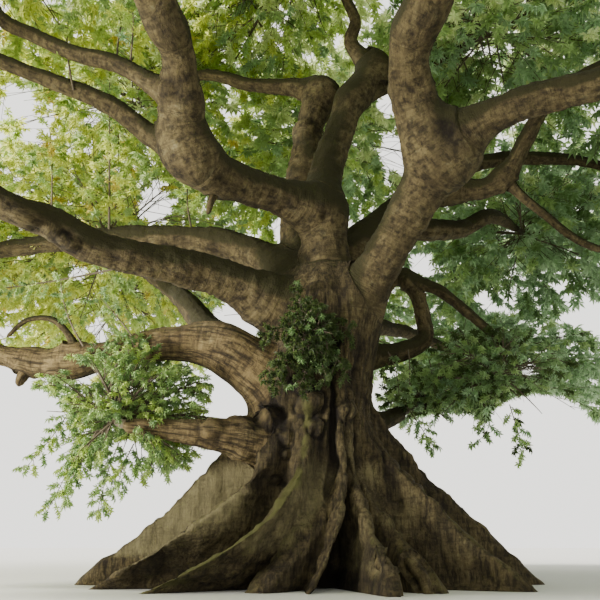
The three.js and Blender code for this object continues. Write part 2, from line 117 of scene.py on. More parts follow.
def turned(vector: Array, axis: Array, angle: float) -> Array:
    """A vector turned about an axis of length one, by an angle in radians."""
    cosine, sine = math.cos(angle), math.sin(angle)
    return vector * cosine + np.cross(axis, vector) * sine + axis * (vector @ axis) * (1.0 - cosine)


def bezier(start: Array, bend: Array, end: Array, shares: Array | Sequence[float]) -> Array:
    """Points at the given shares of a quadratic curve."""
    share = np.asarray(shares, float)[:, None]
    return start * (1 - share) ** 2 + bend * 2 * share * (1 - share) + end * share**2


def walked(line: Array) -> Array:
    """The distance along a line at each of its points."""
    strides = np.linalg.norm(np.diff(line, axis=0), axis=1)
    return np.concatenate([[0], np.cumsum(strides)])


def place_on(line: Array, travel: Array, at: Array | float) -> Array:
    """The place on a line where this much of it is behind."""
    return np.stack([np.interp(at, travel, line[:, axis]) for axis in range(3)], axis=-1)


def jitter(chance: np.random.Generator, size: float) -> Array:
    """A random vector whose parts lie within half the size either way."""
    return (chance.random(3) - 0.5) * size


def gauss(value: Array, width: float) -> Array:
    """A bell curve, 1 at zero."""
    return np.exp(-((value / width) ** 2))


def lattice(cells: Array, seed: int) -> Array:
    """Three even random numbers from -1 to 1 for each whole-number cell."""
    mixed = cells[:, 0] * 374761393 + cells[:, 1] * 668265263 + cells[:, 2] * 2147483647 + seed * 144665
    values = []
    for step in (15, 13, 16):
        mixed = (mixed ^ (mixed >> step)) * 1274126177
        mixed &= 0xFFFFFFFF
        values.append((mixed >> 8 & 0xFFFF) / 32767.5 - 1.0)
    return np.stack(values, axis=1)


def noise(points: Array, seed: int = 0) -> Array:
    """Smooth noise, about -1 to 1, at each point.

    Args:
        points: An array of points, one row each, in units of the noise's own wavelength.
        seed: Picks one of many such fields.

    Returns:
        One value for each point.
    """
    cell = np.floor(points).astype(np.int64)
    local = points - cell
    fade = local**3 * (local * (local * 6 - 15) + 10)
    total = np.zeros(len(points))
    for corner in product((0, 1), repeat=3):
        offset = np.array(corner)
        slope = lattice(cell + offset, seed)
        weight = np.prod(np.where(offset, fade, 1 - fade), axis=1)
        total += weight * np.sum(slope * (local - offset), axis=1)
    return total * 1.35


def layered(points: Array, octaves: int, seed: int = 0) -> Array:
    """Noise with finer and weaker layers added."""
    return sum(noise(points * 2.1**layer, seed + layer) * 0.5**layer for layer in range(octaves))


def ridged(points: Array, seed: int = 0) -> Array:
    """Noise with sharp crests: 1 along thin winding lines, falling to 0 between them."""
    return 1.0 - np.clip(np.abs(noise(points, seed)) * 2.2, 0, 1)


# Node trees


class Graph:
    """Builds one node tree: a node's options are set first, then its sockets."""

    def __init__(self, tree: NodeTree) -> None:
        """Keeps the tree that is built."""
        self.tree = tree

    def add(
        self,
        kind: str,
        options: Mapping[str, object] | None = None,
        sockets: Mapping[str | int, object] | None = None,
    ) -> Node:
        """Adds one node.

        Args:
            kind: The node's type.
            options: Its settings, by name.
            sockets: For each input, by name or place, a value or the socket that feeds it.

        Returns:
            The new node.
        """
        node = self.tree.nodes.new(kind)
        for name, value in (options or {}).items():
            setattr(node, name, value)
        for name, value in (sockets or {}).items():
            if isinstance(value, Num):
                value = value.socket
            if isinstance(value, NodeSocket):
                self.tree.links.new(value, node.inputs[name])
            else:
                node.inputs[name].default_value = value
        return node

    def close(self, kind: str, last: Node) -> None:
        """Adds the tree's output node and feeds it."""
        self.add(kind, None, {0: last.outputs[0]})

    def mix(self, factor: object, first: object, second: object) -> NodeSocket:
        """A colour between two others."""
        node = self.add("ShaderNodeMix", {"data_type": "RGBA"}, {0: factor, 6: first, 7: second})
        return node.outputs[2]

    def noise(self, place: object, scale: float, detail: float = 4.0, roughness: float = 0.55) -> "Num":
        """A noise texture's value."""
        sockets = {"Vector": place, "Scale": scale, "Detail": detail, "Roughness": roughness}
        return Num(self, self.add("ShaderNodeTexNoise", None, sockets).outputs[0])

    def stretched(self, place: object, scale: tuple[float, float, float]) -> NodeSocket:
        """A place scaled by its own amount along each axis."""
        return self.add("ShaderNodeMapping", None, {"Vector": place, "Scale": scale}).outputs[0]

    def attribute(self, name: str) -> "Num":
        """One of the mesh's attributes that are plain numbers."""
        return Num(self, self.add("ShaderNodeAttribute", {"attribute_name": name}).outputs["Fac"])


@dataclass(frozen=True)
class Num:
    """A number's socket, so that sums on it are written as plain expressions."""

    graph: Graph
    socket: NodeSocket

    def _sum(self, operation: str, first: object, second: object) -> "Num":
        """The result of one Math node."""
        node = self.graph.add("ShaderNodeMath", {"operation": operation}, {0: first, 1: second})
        return Num(self.graph, node.outputs[0])

    def __add__(self, other: object) -> "Num":
        """Adds."""
        return self._sum("ADD", self, other)

    __radd__ = __add__

    def __mul__(self, other: object) -> "Num":
        """Multiplies."""
        return self._sum("MULTIPLY", self, other)

    __rmul__ = __mul__

    def __sub__(self, other: object) -> "Num":
        """Subtracts."""
        return self._sum("SUBTRACT", self, other)

    def __rsub__(self, other: object) -> "Num":
        """Is subtracted."""
        return self._sum("SUBTRACT", other, self)

    def step(self, low: float, high: float) -> "Num":
        """A soft step from 0 at low to 1 at high."""
        sockets = {"Value": self, "From Min": low, "From Max": high}
        node = self.graph.add("ShaderNodeMapRange", {"interpolation_type": "SMOOTHSTEP"}, sockets)
        return Num(self.graph, node.outputs[0])


# Finishes

Colour = tuple[float, float, float, float]


def new_material(name: str) -> tuple[Material, Graph]:
    """An empty material and its graph."""
    material = bpy.data.materials.new(name)
    material.use_nodes = True
    material.node_tree.nodes.clear()
    return material, Graph(material.node_tree)


def shaded(colour: Colour, share: float) -> Colour:
    """A colour made darker."""
    return tuple(part * share for part in colour[:3]) + (1.0,)


@dataclass(frozen=True)
class BarkFinish:
    """Rough bark: olive and tan patches, dark stains, cracks along the grain, painted shade in creases and
    hollows, and a mossy colour that on the limbs' tops is painted shade as well.
    """

    name: str
    grain: Grain
    pale: Colour
    mid: Colour
    moss_and_shade: Colour
    fibre_dark: float
    dark: Colour = (0.007, 0.005, 0.003, 1)
    lichen: Colour = (0.165, 0.155, 0.090, 1)
    fibre_stretch: tuple[float, float, float] = (17.0, 17.0, 1.9)
    crack_stretch: tuple[float, float, float] = (7.0, 7.0, 1.8)
    wrinkle_stretch: tuple[float, float, float] = (2.2, 2.2, 15.0)
    wrinkle_depth: float = 0.035
    wrinkle_dark: float = 0.4
    crack_dark: float = 0.7
    speck_dark: float = 0.5
    stain: float = 0.3
    bump: float = 0.5

    def material(self) -> Material:
        """Builds the material."""
        material, graph = new_material(self.name)
        if self.grain is Grain.LIMB:
            place = graph.add("ShaderNodeAttribute", {"attribute_name": "grain"}).outputs["Vector"]
        else:
            place = graph.add("ShaderNodeTexCoord").outputs["Object"]
        patches = graph.noise(place, 1.1, 6.0, 0.6)
        blotches = graph.noise(place, 5.0, 5.0, 0.6)
        speckle = graph.noise(place, 24.0, 6.0, 0.7)
        fibres = graph.noise(graph.stretched(place, self.fibre_stretch), 1.0, 7.0, 0.66)
        cracks = graph.noise(graph.stretched(place, self.crack_stretch), 1.6, 8.0, 0.66)
        wrinkles = graph.noise(graph.stretched(place, self.wrinkle_stretch), 1.0, 5.0, 0.55)
        crease_shade, moss_and_top_shade, bare = (graph.attribute(name) for name in ("crease_shade", "moss_and_shade", "bare"))
        tone = patches * 0.7 + blotches * 0.3 + speckle * 0.3 + fibres * 0.3
        colour = graph.mix(tone.step(0.56, 1.04), self.mid, self.pale)
        spots = (blotches * 0.6 + speckle * 0.5 + patches * 0.3).step(0.74, 0.92) * 0.5
        worn = (bare + (patches - 0.5) * 0.7 + (speckle - 0.5) * 0.5).step(0.2, 0.8)
        worn = worn * bare.step(0.0, 0.2) * 0.8
        colour = graph.mix(1 - (1 - spots) * (1 - worn), colour, self.lichen)
        # Painted shade: the bark darkens in creases, in the hollow, in the furrows and in the knots' moats
        # and hollows.
        clear = 1 - crease_shade
        for shade in (
            (1 - cracks.step(0.36, 0.52)) * self.crack_dark,
            (1 - (patches * 0.5 + blotches * 0.5).step(0.34, 0.5)) * self.stain,
            (1 - wrinkles.step(0.36, 0.5)) * self.wrinkle_dark,
            (1 - fibres.step(0.38, 0.52)) * self.fibre_dark,
            (1 - (speckle * 0.6 + blotches * 0.4).step(0.38, 0.44)) * self.speck_dark,
        ):
            clear = clear * (1 - shade)
        colour = graph.mix((1 - clear) * (1 - worn * 0.7), colour, self.dark)
        # A mossy colour on the trunk's crest and its upward faces near the foot; on the limbs' tops the same
        # mix is painted shade as well, in a near-black colour.
        moss_and_shade_mask = (moss_and_top_shade + (patches - 0.5) * 0.9 + (speckle - 0.5) * 0.7).step(0.3, 0.75) * moss_and_top_shade.step(0.0, 0.2)
        colour = graph.mix(moss_and_shade_mask, colour, self.moss_and_shade)
        rough = cracks * 0.07 + wrinkles * self.wrinkle_depth + speckle * 0.035
        rough = rough + blotches * 0.05 + fibres * 0.05
        sockets = {"Strength": 0.9, "Distance": self.bump, "Height": rough * (1 - worn * 0.5)}
        bump = graph.add("ShaderNodeBump", None, sockets)
        sockets = {"Base Color": colour, "Roughness": 0.88, "Specular IOR Level": 0.2}
        sockets["Normal"] = bump.outputs[0]
        graph.close("ShaderNodeOutputMaterial", graph.add("ShaderNodeBsdfPrincipled", None, sockets))
        return material


@dataclass(frozen=True)
class LeafFinish:
    """A thin leaf that lets part of the light through, in one tint that shifts a little with the place."""

    name: str
    colour: Colour
    glow: Colour
    through: float = 0.62
    dull: float = 0.72

    def material(self) -> Material:
        """Builds the material."""
        material, graph = new_material(self.name)
        place = graph.add("ShaderNodeTexCoord").outputs["Object"]
        shift = graph.noise(place, 0.9, 3.0).step(0.3, 0.7)
        face = graph.mix(shift, shaded(self.colour, self.dull), self.colour)
        sockets = {"Base Color": face, "Roughness": 0.5, "Specular IOR Level": 0.4}
        front = graph.add("ShaderNodeBsdfPrincipled", None, sockets)
        back = graph.add("ShaderNodeBsdfTranslucent", None, {"Color": self.glow})
        sockets = {0: self.through, 1: front.outputs[0], 2: back.outputs[0]}
        graph.close("ShaderNodeOutputMaterial", graph.add("ShaderNodeMixShader", None, sockets))
        return material


@dataclass(frozen=True)
class PlainFinish:
    """A matt finish for the floor and the young twigs, with a faint mottle."""

    name: str
    colour: Colour
    mottle: float = 0.12
    scale: float = 3.0

    def material(self) -> Material:
        """Builds the material."""
        material, graph = new_material(self.name)
        place = graph.add("ShaderNodeTexCoord").outputs["Object"]
        colour = graph.mix(graph.noise(place, self.scale), self.colour, shaded(self.colour, 1 - self.mottle))
        sockets = {"Base Color": colour, "Roughness": 0.9}
        graph.close("ShaderNodeOutputMaterial", graph.add("ShaderNodeBsdfPrincipled", None, sockets))
        return material


# Meshes


def mesh_piece(
    name: str, points: Array, faces: Sequence[Sequence[int]], smooth_faces: bool = True
) -> Object:
    """A new object at the origin with the given mesh.

    Args:
        name: The piece's name.
        points: Its points, one row each.
        faces: Rows of corner numbers.
        smooth_faces: Whether its faces are shaded smooth.

    Returns:
        The new object, in the scene.
    """
    mesh = bpy.data.meshes.new(name)
    mesh.from_pydata(points.tolist(), [], [list(map(int, face)) for face in faces])
    mesh.polygons.foreach_set("use_smooth", [smooth_faces] * len(mesh.polygons))
    mesh.update()
    piece = bpy.data.objects.new(name, mesh)
    bpy.context.scene.collection.objects.link(piece)
    return piece


def set_attribute(mesh: Mesh, name: str, values: Array) -> None:
    """Writes one number or vector for each point of a mesh."""
    is_vector = values.ndim == 2
    kind = "FLOAT_VECTOR" if is_vector else "FLOAT"
    layer = mesh.attributes.new(name, kind, "POINT")
    layer.data.foreach_set("vector" if is_vector else "value", values.astype(np.float32).ravel())


def grid_faces(rings: int, sides: int) -> list[tuple[int, ...]]:
    """The faces of a closed tube, for rings of points and then its first and last pole."""
    faces: list[tuple[int, ...]] = []
    for ring in range(rings - 1):
        here, above = ring * sides, (ring + 1) * sides
        for side in range(sides):
            after = (side + 1) % sides
            faces.append((here + side, here + after, above + after, above + side))
    first, last, top = rings * sides, rings * sides + 1, (rings - 1) * sides
    for side in range(sides):
        after = (side + 1) % sides
        faces.append((first, after, side))
        faces.append((last, top + side, top + after))
    return faces


def tube_normals(grid: Array) -> Array:
    """Outward directions at the points of a closed grid of rings and sides, one row for each point."""
    along = np.gradient(grid, axis=0)
    around = np.roll(grid, -1, axis=1) - np.roll(grid, 1, axis=1)
    return unit(np.cross(around, along)).reshape(-1, 3)


def skin(
    name: str, points: Array, shape: tuple[int, ...], poles: Array, marks: Mapping[str, Array]
) -> Object:
    """A closed skin over rings of points.

    Args:
        name: The piece's name.
        points: Its points, ring after ring.
        shape: How many rings and sides they form.
        poles: The points that close its two ends.
        marks: Values for the bark, for each point and perhaps for the poles, which else get 0.

    Returns:
        The new object, in the scene.
    """
    piece = mesh_piece(name, np.vstack([points, poles]), grid_faces(*shape[:2]))
    for label, values in marks.items():
        missing = len(points) + len(poles) - len(values)
        set_attribute(piece.data, label, np.concatenate([values, np.zeros((missing, *values.shape[1:]))]))
    return piece


def dress(piece: Object, finish: Material, nodes: Sequence[str]) -> None:
    """Gives a piece its finish and its body, and hides the solids that it stands for."""
    piece.data.materials.clear()
    piece.data.materials.append(finish)
    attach(piece, BODY)
    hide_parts(*nodes)
    faces = sum(len(face.vertices) - 2 for face in piece.data.polygons)
    log.info("%s: %d triangles", piece.name, faces)


# The trunk


@dataclass(frozen=True)
class Rib:
    """A buttress, whose plan turns from the heading of its toe to that of its top as it climbs."""

    toe: float
    top: float
    reach: float
    height: float
    half: float
    slope: float
    turn: float


@dataclass(frozen=True)
class Knot:
    """A burl or scar on the wood, or only a hollow: where it is, its radius, how far it stands out, and its
    hollow, darkened with painted shade.
    """

    place: tuple[float, float, float]
    radius: float
    rise: float
    dip: float = 0.0


@dataclass
class Trunk:
    """The column with its buttresses, the two folds in front with the hollow between them, and its bark."""

    height: float = 6.25
    dome: float = 1.2
    dome_edge: float = 0.98
    foot_radius: float = 1.38
    waist_radius: float = 1.02
    fork_radius: float = 0.93
    waist: float = 3.3
    lean: float = 0.26
    lean_start: float = 3.4
    lean_end: float = 5.4
    rib_rise: float = 1.04
    rib_sharpness: float = 3.0
    blend_sharpness: float = 6.0
    hollow_height: float = 1.55
    hollow_floor: float = 1.0
    hollow_width: float = 0.4
    hollow_edge: float = 0.12
    columns_per_rib: int = 40
    outline_marks: int = 61
    levels: int = 146
    dome_levels: int = 22
    ribs: dict[str, Rib] = field(
        default_factory=lambda: {
            "right_plate": Rib(3, 0, 4.35, 3.50, 0.30, 1.25, 1.25),
            "rear_right_plate": Rib(38, 40, 4.05, 3.20, 0.25, 1.5, 1.5),
            "rear_plate": Rib(76, 78, 3.65, 2.80, 0.26, 1.7, 1.7),
            "rear_left_plate": Rib(113, 112, 4.15, 3.10, 0.24, 1.5, 1.5),
            "left_rear_plate": Rib(149, 152, 3.90, 2.80, 0.23, 1.6, 1.6),
            "left_plate": Rib(179, 190, 4.50, 3.50, 0.22, 1.45, 1.6),
            "left_fore_plate": Rib(198, 236, 4.05, 2.90, 0.19, 1.5, 2.0),
            "moss_ridge": Rib(220, 264, 3.62, 3.50, 0.24, 2.0, 2.9),
            "front_root": Rib(246, 274, 2.45, 2.50, 0.42, 1.7, 2.3),
            "hollow_left_fold": Rib(267, 293, 2.45, 3.30, 0.12, 1.5, 1.9),
            "hollow_right_fold": Rib(289, 301, 3.20, 3.30, 0.14, 2.4, 1.6),
            "right_inner_root": Rib(311, 313, 3.00, 2.20, 0.28, 1.6, 1.5),
            "right_fore_plate": Rib(332, 328, 4.00, 3.10, 0.30, 1.35, 1.35),
        }
    )

    def core_radius(self, z: Array) -> Array:
        """Radius of the round core at each height."""
        rise = np.clip((z - self.waist) / (self.height - self.dome - self.waist), 0, 1)
        above = self.waist_radius + (self.fork_radius - self.waist_radius) * rise
        drop = np.clip(1 - z / self.waist, 0, 1)
        below = self.waist_radius + (self.foot_radius - self.waist_radius) * drop**1.6
        return np.where(z > self.waist, above, below)

    def rib_at(self, rib: Rib, z: Array) -> tuple[Array, Array]:
        """Heading and reach of a buttress at each height."""
        drop = np.clip(1 - z / rib.height, 0, None)
        flush = self.core_radius(z) * self.rib_rise
        heading = rib.top + (rib.toe - rib.top) * drop**rib.turn
        return heading, flush + (rib.reach - flush) * drop**rib.slope

    def hollow_share(self, heading: Array, z: Array) -> Array:
        """How far into the hollow each place is, from 0 to 1."""
        left, _ = self.rib_at(self.ribs["hollow_left_fold"], z)
        right, _ = self.rib_at(self.ribs["hollow_right_fold"], z)
        rise = np.clip(z / self.hollow_height, 0, 1)
        half = self.hollow_width * (1 - rise * rise)
        away = np.abs((np.mod(heading, 360) - left) / (right - left) - 0.5)
        share = np.clip((away - half) / self.hollow_edge, 0, 1)
        share = 1 - share * share * (3 - 2 * share)
        return np.where(z < self.hollow_height, share, 0)

    def radius(self, heading: Array, z: Array) -> Array:
        """Radius of the trunk at each heading, in degrees, and height."""
        total = self.core_radius(z) ** self.blend_sharpness
        for rib in self.ribs.values():
            middle, reach = self.rib_at(rib, z)
            turn = np.radians(heading - middle)
            along = np.cos(turn)
            flat = np.maximum(along, 0) / reach
            across = np.abs(np.sin(turn)) / rib.half
            sharp = self.rib_sharpness
            size = np.maximum(flat**sharp + across**sharp, 1e-9)
            total = total + np.where(along > 0, size ** (-self.blend_sharpness / sharp), 0)
        radius = total ** (1 / self.blend_sharpness)
        radius = radius - np.maximum(0, radius - self.hollow_floor) * self.hollow_share(heading, z)
        in_dome = np.clip((z - (self.height - self.dome)) / self.dome, 0, self.dome_edge)
        return radius * np.sqrt(1 - in_dome * in_dome)

    def lean_at(self, z: Array) -> Array:
        """How far the axis has moved to +X at each height."""
        return self.lean * smooth(z, self.lean_start, self.lean_end)

    def _gap(self, points: Array) -> Array:
        """How far each point is outside the surface, measured level with the ground."""
        z = np.clip(points[:, 2], 0, self.height)
        x = points[:, 0] - self.lean_at(z)
        heading = np.degrees(np.arctan2(points[:, 1], x))
        over = np.maximum(0, points[:, 2] - self.height)
        return np.hypot(x, points[:, 1]) - self.radius(heading, z) + over

    def distance(self, points: Array) -> tuple[Array, Array]:
        """Distance from the surface, less than 0 inside, and the direction in which it grows."""
        step, least_slope = 0.02, 0.6
        here = self._gap(points)
        slopes = [(self._gap(points + np.eye(3)[axis] * step) - here) / step for axis in range(3)]
        slope = np.stack(slopes, axis=1)
        steep = np.maximum(np.linalg.norm(slope, axis=1), least_slope)
        return here / steep, unit(slope)

    def grid(self) -> Array:
        """The trunk's smooth surface as levels of points."""
        low = np.linspace(0, self.height - self.dome, self.levels)
        bend = np.linspace(0, math.asin(self.dome_edge), self.dome_levels + 1)[1:]
        z = np.concatenate([low, self.height - self.dome + self.dome * np.sin(bend)])
        share = np.arange(self.columns_per_rib) / self.columns_per_rib
        marks = np.linspace(0, 1, self.outline_marks)
        headings = []
        ribs = list(self.ribs.values())
        for here, after in zip(ribs, ribs[1:] + ribs[:1]):
            start, _ = self.rib_at(here, z)
            end, _ = self.rib_at(after, z)
            end = np.where(end < start, end + 360, end)
            rows = []
            for level, height in enumerate(z):
                dense = start[level] + (end[level] - start[level]) * marks
                radius = self.radius(dense, np.full(len(dense), height))
                turn = np.radians(dense)
                travel = walked(np.stack([np.cos(turn), np.sin(turn)], axis=1) * radius[:, None])
                rows.append(np.interp(share * travel[-1], travel, dense))
            headings.append(np.array(rows))
        heading = np.concatenate(headings, axis=1)
        height = np.broadcast_to(z[:, None], heading.shape)
        radius = self.radius(heading.ravel(), height.ravel()).reshape(heading.shape)
        turn = np.radians(heading)
        x = np.cos(turn) * radius + self.lean_at(height)
        return np.stack([x, np.sin(turn) * radius, height], axis=2)


# Limbs


@dataclass(frozen=True)
class LimbPlan:
    """Where a limb starts, its radii past the collar and at its tip, and its headings, climbs and lengths."""

    parent: str
    start: tuple[float, float, float] | float
    girth: tuple[float, float]
    steps: tuple[tuple[float, float, float], ...]


LIMB_PLANS: dict[str, LimbPlan] = {
    "left_front": LimbPlan(
        "trunk", (-0.28, -0.2, 5.13), (0.42, 0.14),
        (
            (205, 20, 0.9), (210, 15, 1.15), (210, 2, 2.2), (215, 15, 1),
            (225, 5, 0.9), (202, 22, 2.35), (192, 26, 2.55),
        ),
    ),
    "left_back": LimbPlan(
        "trunk", (-0.1, 0.2, 5.6), (0.4, 0.13),
        ((154, 48, 1.4), (170, 30, 1.1), (170, 12, 1.25), (170, 4, 2.45), (168, -2, 2.25), (146, 10, 2.7)),
    ),
    "left_middle": LimbPlan(
        "trunk", (-0.48, -0.2, 3.4), (0.42, 0.1),
        (
            (200, 40, 0.85), (185, 30, 0.9), (180, 5, 1.05), (166, -6, 1.25),
            (165, -5, 1.15), (168, 10, 1.45), (178, 16, 3.1),
        ),
    ),
    "left_riser": LimbPlan(
        "left_middle", 0.25, (0.27, 0.12), ((150, 45, 1.1), (135, 45, 0.8), (120, 30, 1.75), (130, 32, 3.1)),
    ),
    "left_low": LimbPlan(
        "trunk", (-0.7, -0.5, 2.5), (0.32, 0.13), ((210, 5, 1.1), (190, 5, 1), (185, 5, 0.85)),
    ),
    "leader": LimbPlan(
        "trunk", (0.33, 0, 5), (0.43, 0.29),
        ((252, 84, 1.65), (210, 85, 1.1), (60, 75, 0.9), (45, 70, 1.2), (40, 68, 1.35), (28, 60, 1.65)),
    ),
    "upper_left": LimbPlan(
        "leader", 0.3, (0.38, 0.34), ((220, 0, 0.9), (215, 0, 1), (225, 0, 0.9), (230, 10, 0.65)),
    ),
    "upper_left_rising": LimbPlan(
        "upper_left", 0.97, (0.33, 0.14),
        ((240, 55, 0.55), (275, 45, 0.65), (265, 40, 0.8), (255, 25, 0.95), (246, 62, 3.3)),
    ),
    "upper_left_low": LimbPlan(
        "upper_left", 0.93, (0.21, 0.1),
        ((190, 25, 1), (180, 40, 1), (180, 25, 1.15), (178, 24, 1.35), (180, 26, 2.7)),
    ),
    "upper_left_high": LimbPlan(
        "upper_left_rising", 0.34, (0.19, 0.1),
        ((190, 30, 0.7), (170, 35, 0.9), (175, 20, 0.85), (170, 30, 0.95), (175, 35, 1.15), (140, 66, 1.85)),
    ),
    "upper_left_fore": LimbPlan(
        "upper_left_rising", 0.72, (0.2, 0.11), ((244, 18, 2.5), (240, 0, 2.15), (240, -8, 1.6)),
    ),
    "back_leader": LimbPlan(
        "trunk", (0.12, 0.3, 5.2), (0.37, 0.34),
        ((132, 72, 2.25), (90, 80, 1.15), (44, 78, 1.35), (40, 78, 1.35), (20, 70, 0.95)),
    ),
    "leader_left": LimbPlan("leader", 0.97, (0.19, 0.1), ((180, 55, 0.95), (305, 75, 0.7), (178, 68, 1.5))),
    "leader_right": LimbPlan("leader", 0.84, (0.19, 0.11), ((26, 34, 1.6), (22, 40, 2.8))),
    "back_left_high": LimbPlan(
        "back_leader", 0.96, (0.24, 0.11), ((165, 20, 0.95), (165, 15, 1.15), (164, 24, 1.5), (138, 12, 1.7)),
    ),
    "rear_high": LimbPlan("back_leader", 0.96, (0.22, 0.11), ((84, 30, 2.1), (88, 18, 2))),
    "right": LimbPlan(
        "trunk", (0.5, -0.1, 4.7), (0.37, 0.45),
        ((320, 50, 1.2), (312, 48, 1.4), (310, 45, 1.1), (305, 40, 0.7)),
    ),
    "right_rising": LimbPlan(
        "right", 0.95, (0.42, 0.16),
        ((210, 50, 0.8), (240, 50, 0.7), (265, 40, 0.7), (290, 30, 0.85), (328, 62, 1.55), (320, 66, 1.95)),
    ),
    "right_outer": LimbPlan(
        "right", 0.93, (0.34, 0.15),
        ((320, 25, 0.8), (325, 10, 0.8), (330, 0, 0.75), (320, -10, 0.75), (334, 2, 1.95), (340, 18, 2.45)),
    ),
    "right_fore": LimbPlan(
        "right_rising", 0.58, (0.22, 0.11), ((296, 16, 2.8), (298, 0, 1.85), (298, -8, 1.8)),
    ),
    "right_back": LimbPlan(
        "trunk", (0.6, 0.4, 5.3), (0.38, 0.11),
        (
            (56, 72, 1.55), (25, 55, 0.8), (30, 30, 0.95), (25, 10, 1.2),
            (30, 15, 1), (34, 30, 1.3), (60, 16, 3.3),
        ),
    ),
    "right_mid": LimbPlan(
        "right_back", 0.19, (0.33, 0.09),
        (
            (20, 48, 1.85), (356, 18, 1.3), (345, -5, 0.8), (340, 30, 0.65),
            (325, 55, 0.9), (340, 55, 1.05), (346, 34, 1.5), (16, 22, 1.5),
        ),
    ),
    "right_far": LimbPlan(
        "right_mid", 0.25, (0.24, 0.11),
        ((55, 50, 0.95), (35, 35, 1.1), (20, 16, 1.7), (20, 6, 2.4), (26, -16, 1.9)),
    ),
    "right_thin": LimbPlan(
        "right_mid", 0.47, (0.11, 0.07), ((5, -45, 1.2), (358, -38, 1.6), (348, -12, 2.85)),
    ),
    "right_low": LimbPlan(
        "trunk", (0.5, 0.5, 4.55), (0.27, 0.13),
        ((35, 5, 0.85), (10, 10, 0.8), (10, 30, 0.65), (95, 85, 0.65), (170, 75, 0.6), (180, 55, 0.4)),
    ),
    "right_low_curl": LimbPlan(
        "right_low", 0.98, (0.125, 0.08), ((180, -15, 0.3), (200, -65, 0.65), (185, -75, 0.55)),
    ),
    "right_low_outer": LimbPlan(
        "right_low", 0.97, (0.14, 0.085),
        ((350, -25, 0.85), (345, -45, 0.95), (350, -50, 0.75), (290, -80, 0.7)),
    ),
    "right_stub": LimbPlan("trunk", (0.6, 0.55, 3.05), (0.24, 0.17), ((45, 10, 1.3), (45, 20, 0.85))),
    "rear_left": LimbPlan(
        "trunk", (-0.1, 0.3, 5.3), (0.36, 0.12),
        ((120, 42, 2.45), (124, 26, 2.7), (128, 16, 3.45), (120, 4, 3.15)),
    ),
    "rear": LimbPlan(
        "trunk", (0.1, 0.3, 4.9), (0.38, 0.12),
        ((96, 38, 2.45), (92, 26, 2.45), (86, 14, 3.15), (84, 4, 2.95)),
    ),
    "rear_right": LimbPlan(
        "trunk", (0.3, 0.3, 4.4), (0.34, 0.12),
        ((76, 30, 2.25), (70, 20, 2.25), (58, 10, 3.35), (52, 0, 3.5)),
    ),
}

STUB_PLANS: dict[str, LimbPlan] = {
    "left_middle_stub_1": LimbPlan("left_middle", 0.7, (0.11, 0.085), ((215, -68, 0.42), (240, -80, 0.22))),
    "left_middle_stub_2": LimbPlan("left_middle", 0.79, (0.10, 0.08), ((190, -60, 0.40), (210, -75, 0.2))),
    "left_middle_arch": LimbPlan(
        "left_middle", 0.66, (0.08, 0.04), ((200, 62, 0.6), (190, 40, 0.5), (185, -5, 0.5), (180, -45, 0.5)),
    ),
    "upper_left_spur": LimbPlan("upper_left", 0.62, (0.10, 0.05), ((200, -50, 0.5), (190, -75, 0.45))),
    "back_leader_spur": LimbPlan("back_leader", 0.42, (0.13, 0.08), ((0, 55, 0.7), (350, 75, 0.35))),
    "fold_root": LimbPlan("trunk", (1.02, -2.42, 0.42), (0.085, 0.05), ((304, -44, 0.30), (286, -60, 0.34))),
    "inner_root": LimbPlan("trunk", (1.52, -2.02, 0.42), (0.08, 0.045), ((306, -42, 0.30), (290, -60, 0.34))),
}

FIBROUS_LIMBS = ("left_middle", "left_low", "left_middle_stub_1", "left_middle_stub_2")
COLLAR_SWELL = 0.4
COLLAR_LENGTH = 1.5
ROOT_CAP = (84.0, 70.0, 56.0, 42.0, 28.0, 14.0)
TRUNK_COLLAR = 0.8
LIMB_COLLAR = 0.9
MARKS_PER_STEP = 24
TIP_ROUND = 0.9
TIP_EDGE = 0.93
FEWEST_RINGS = 8


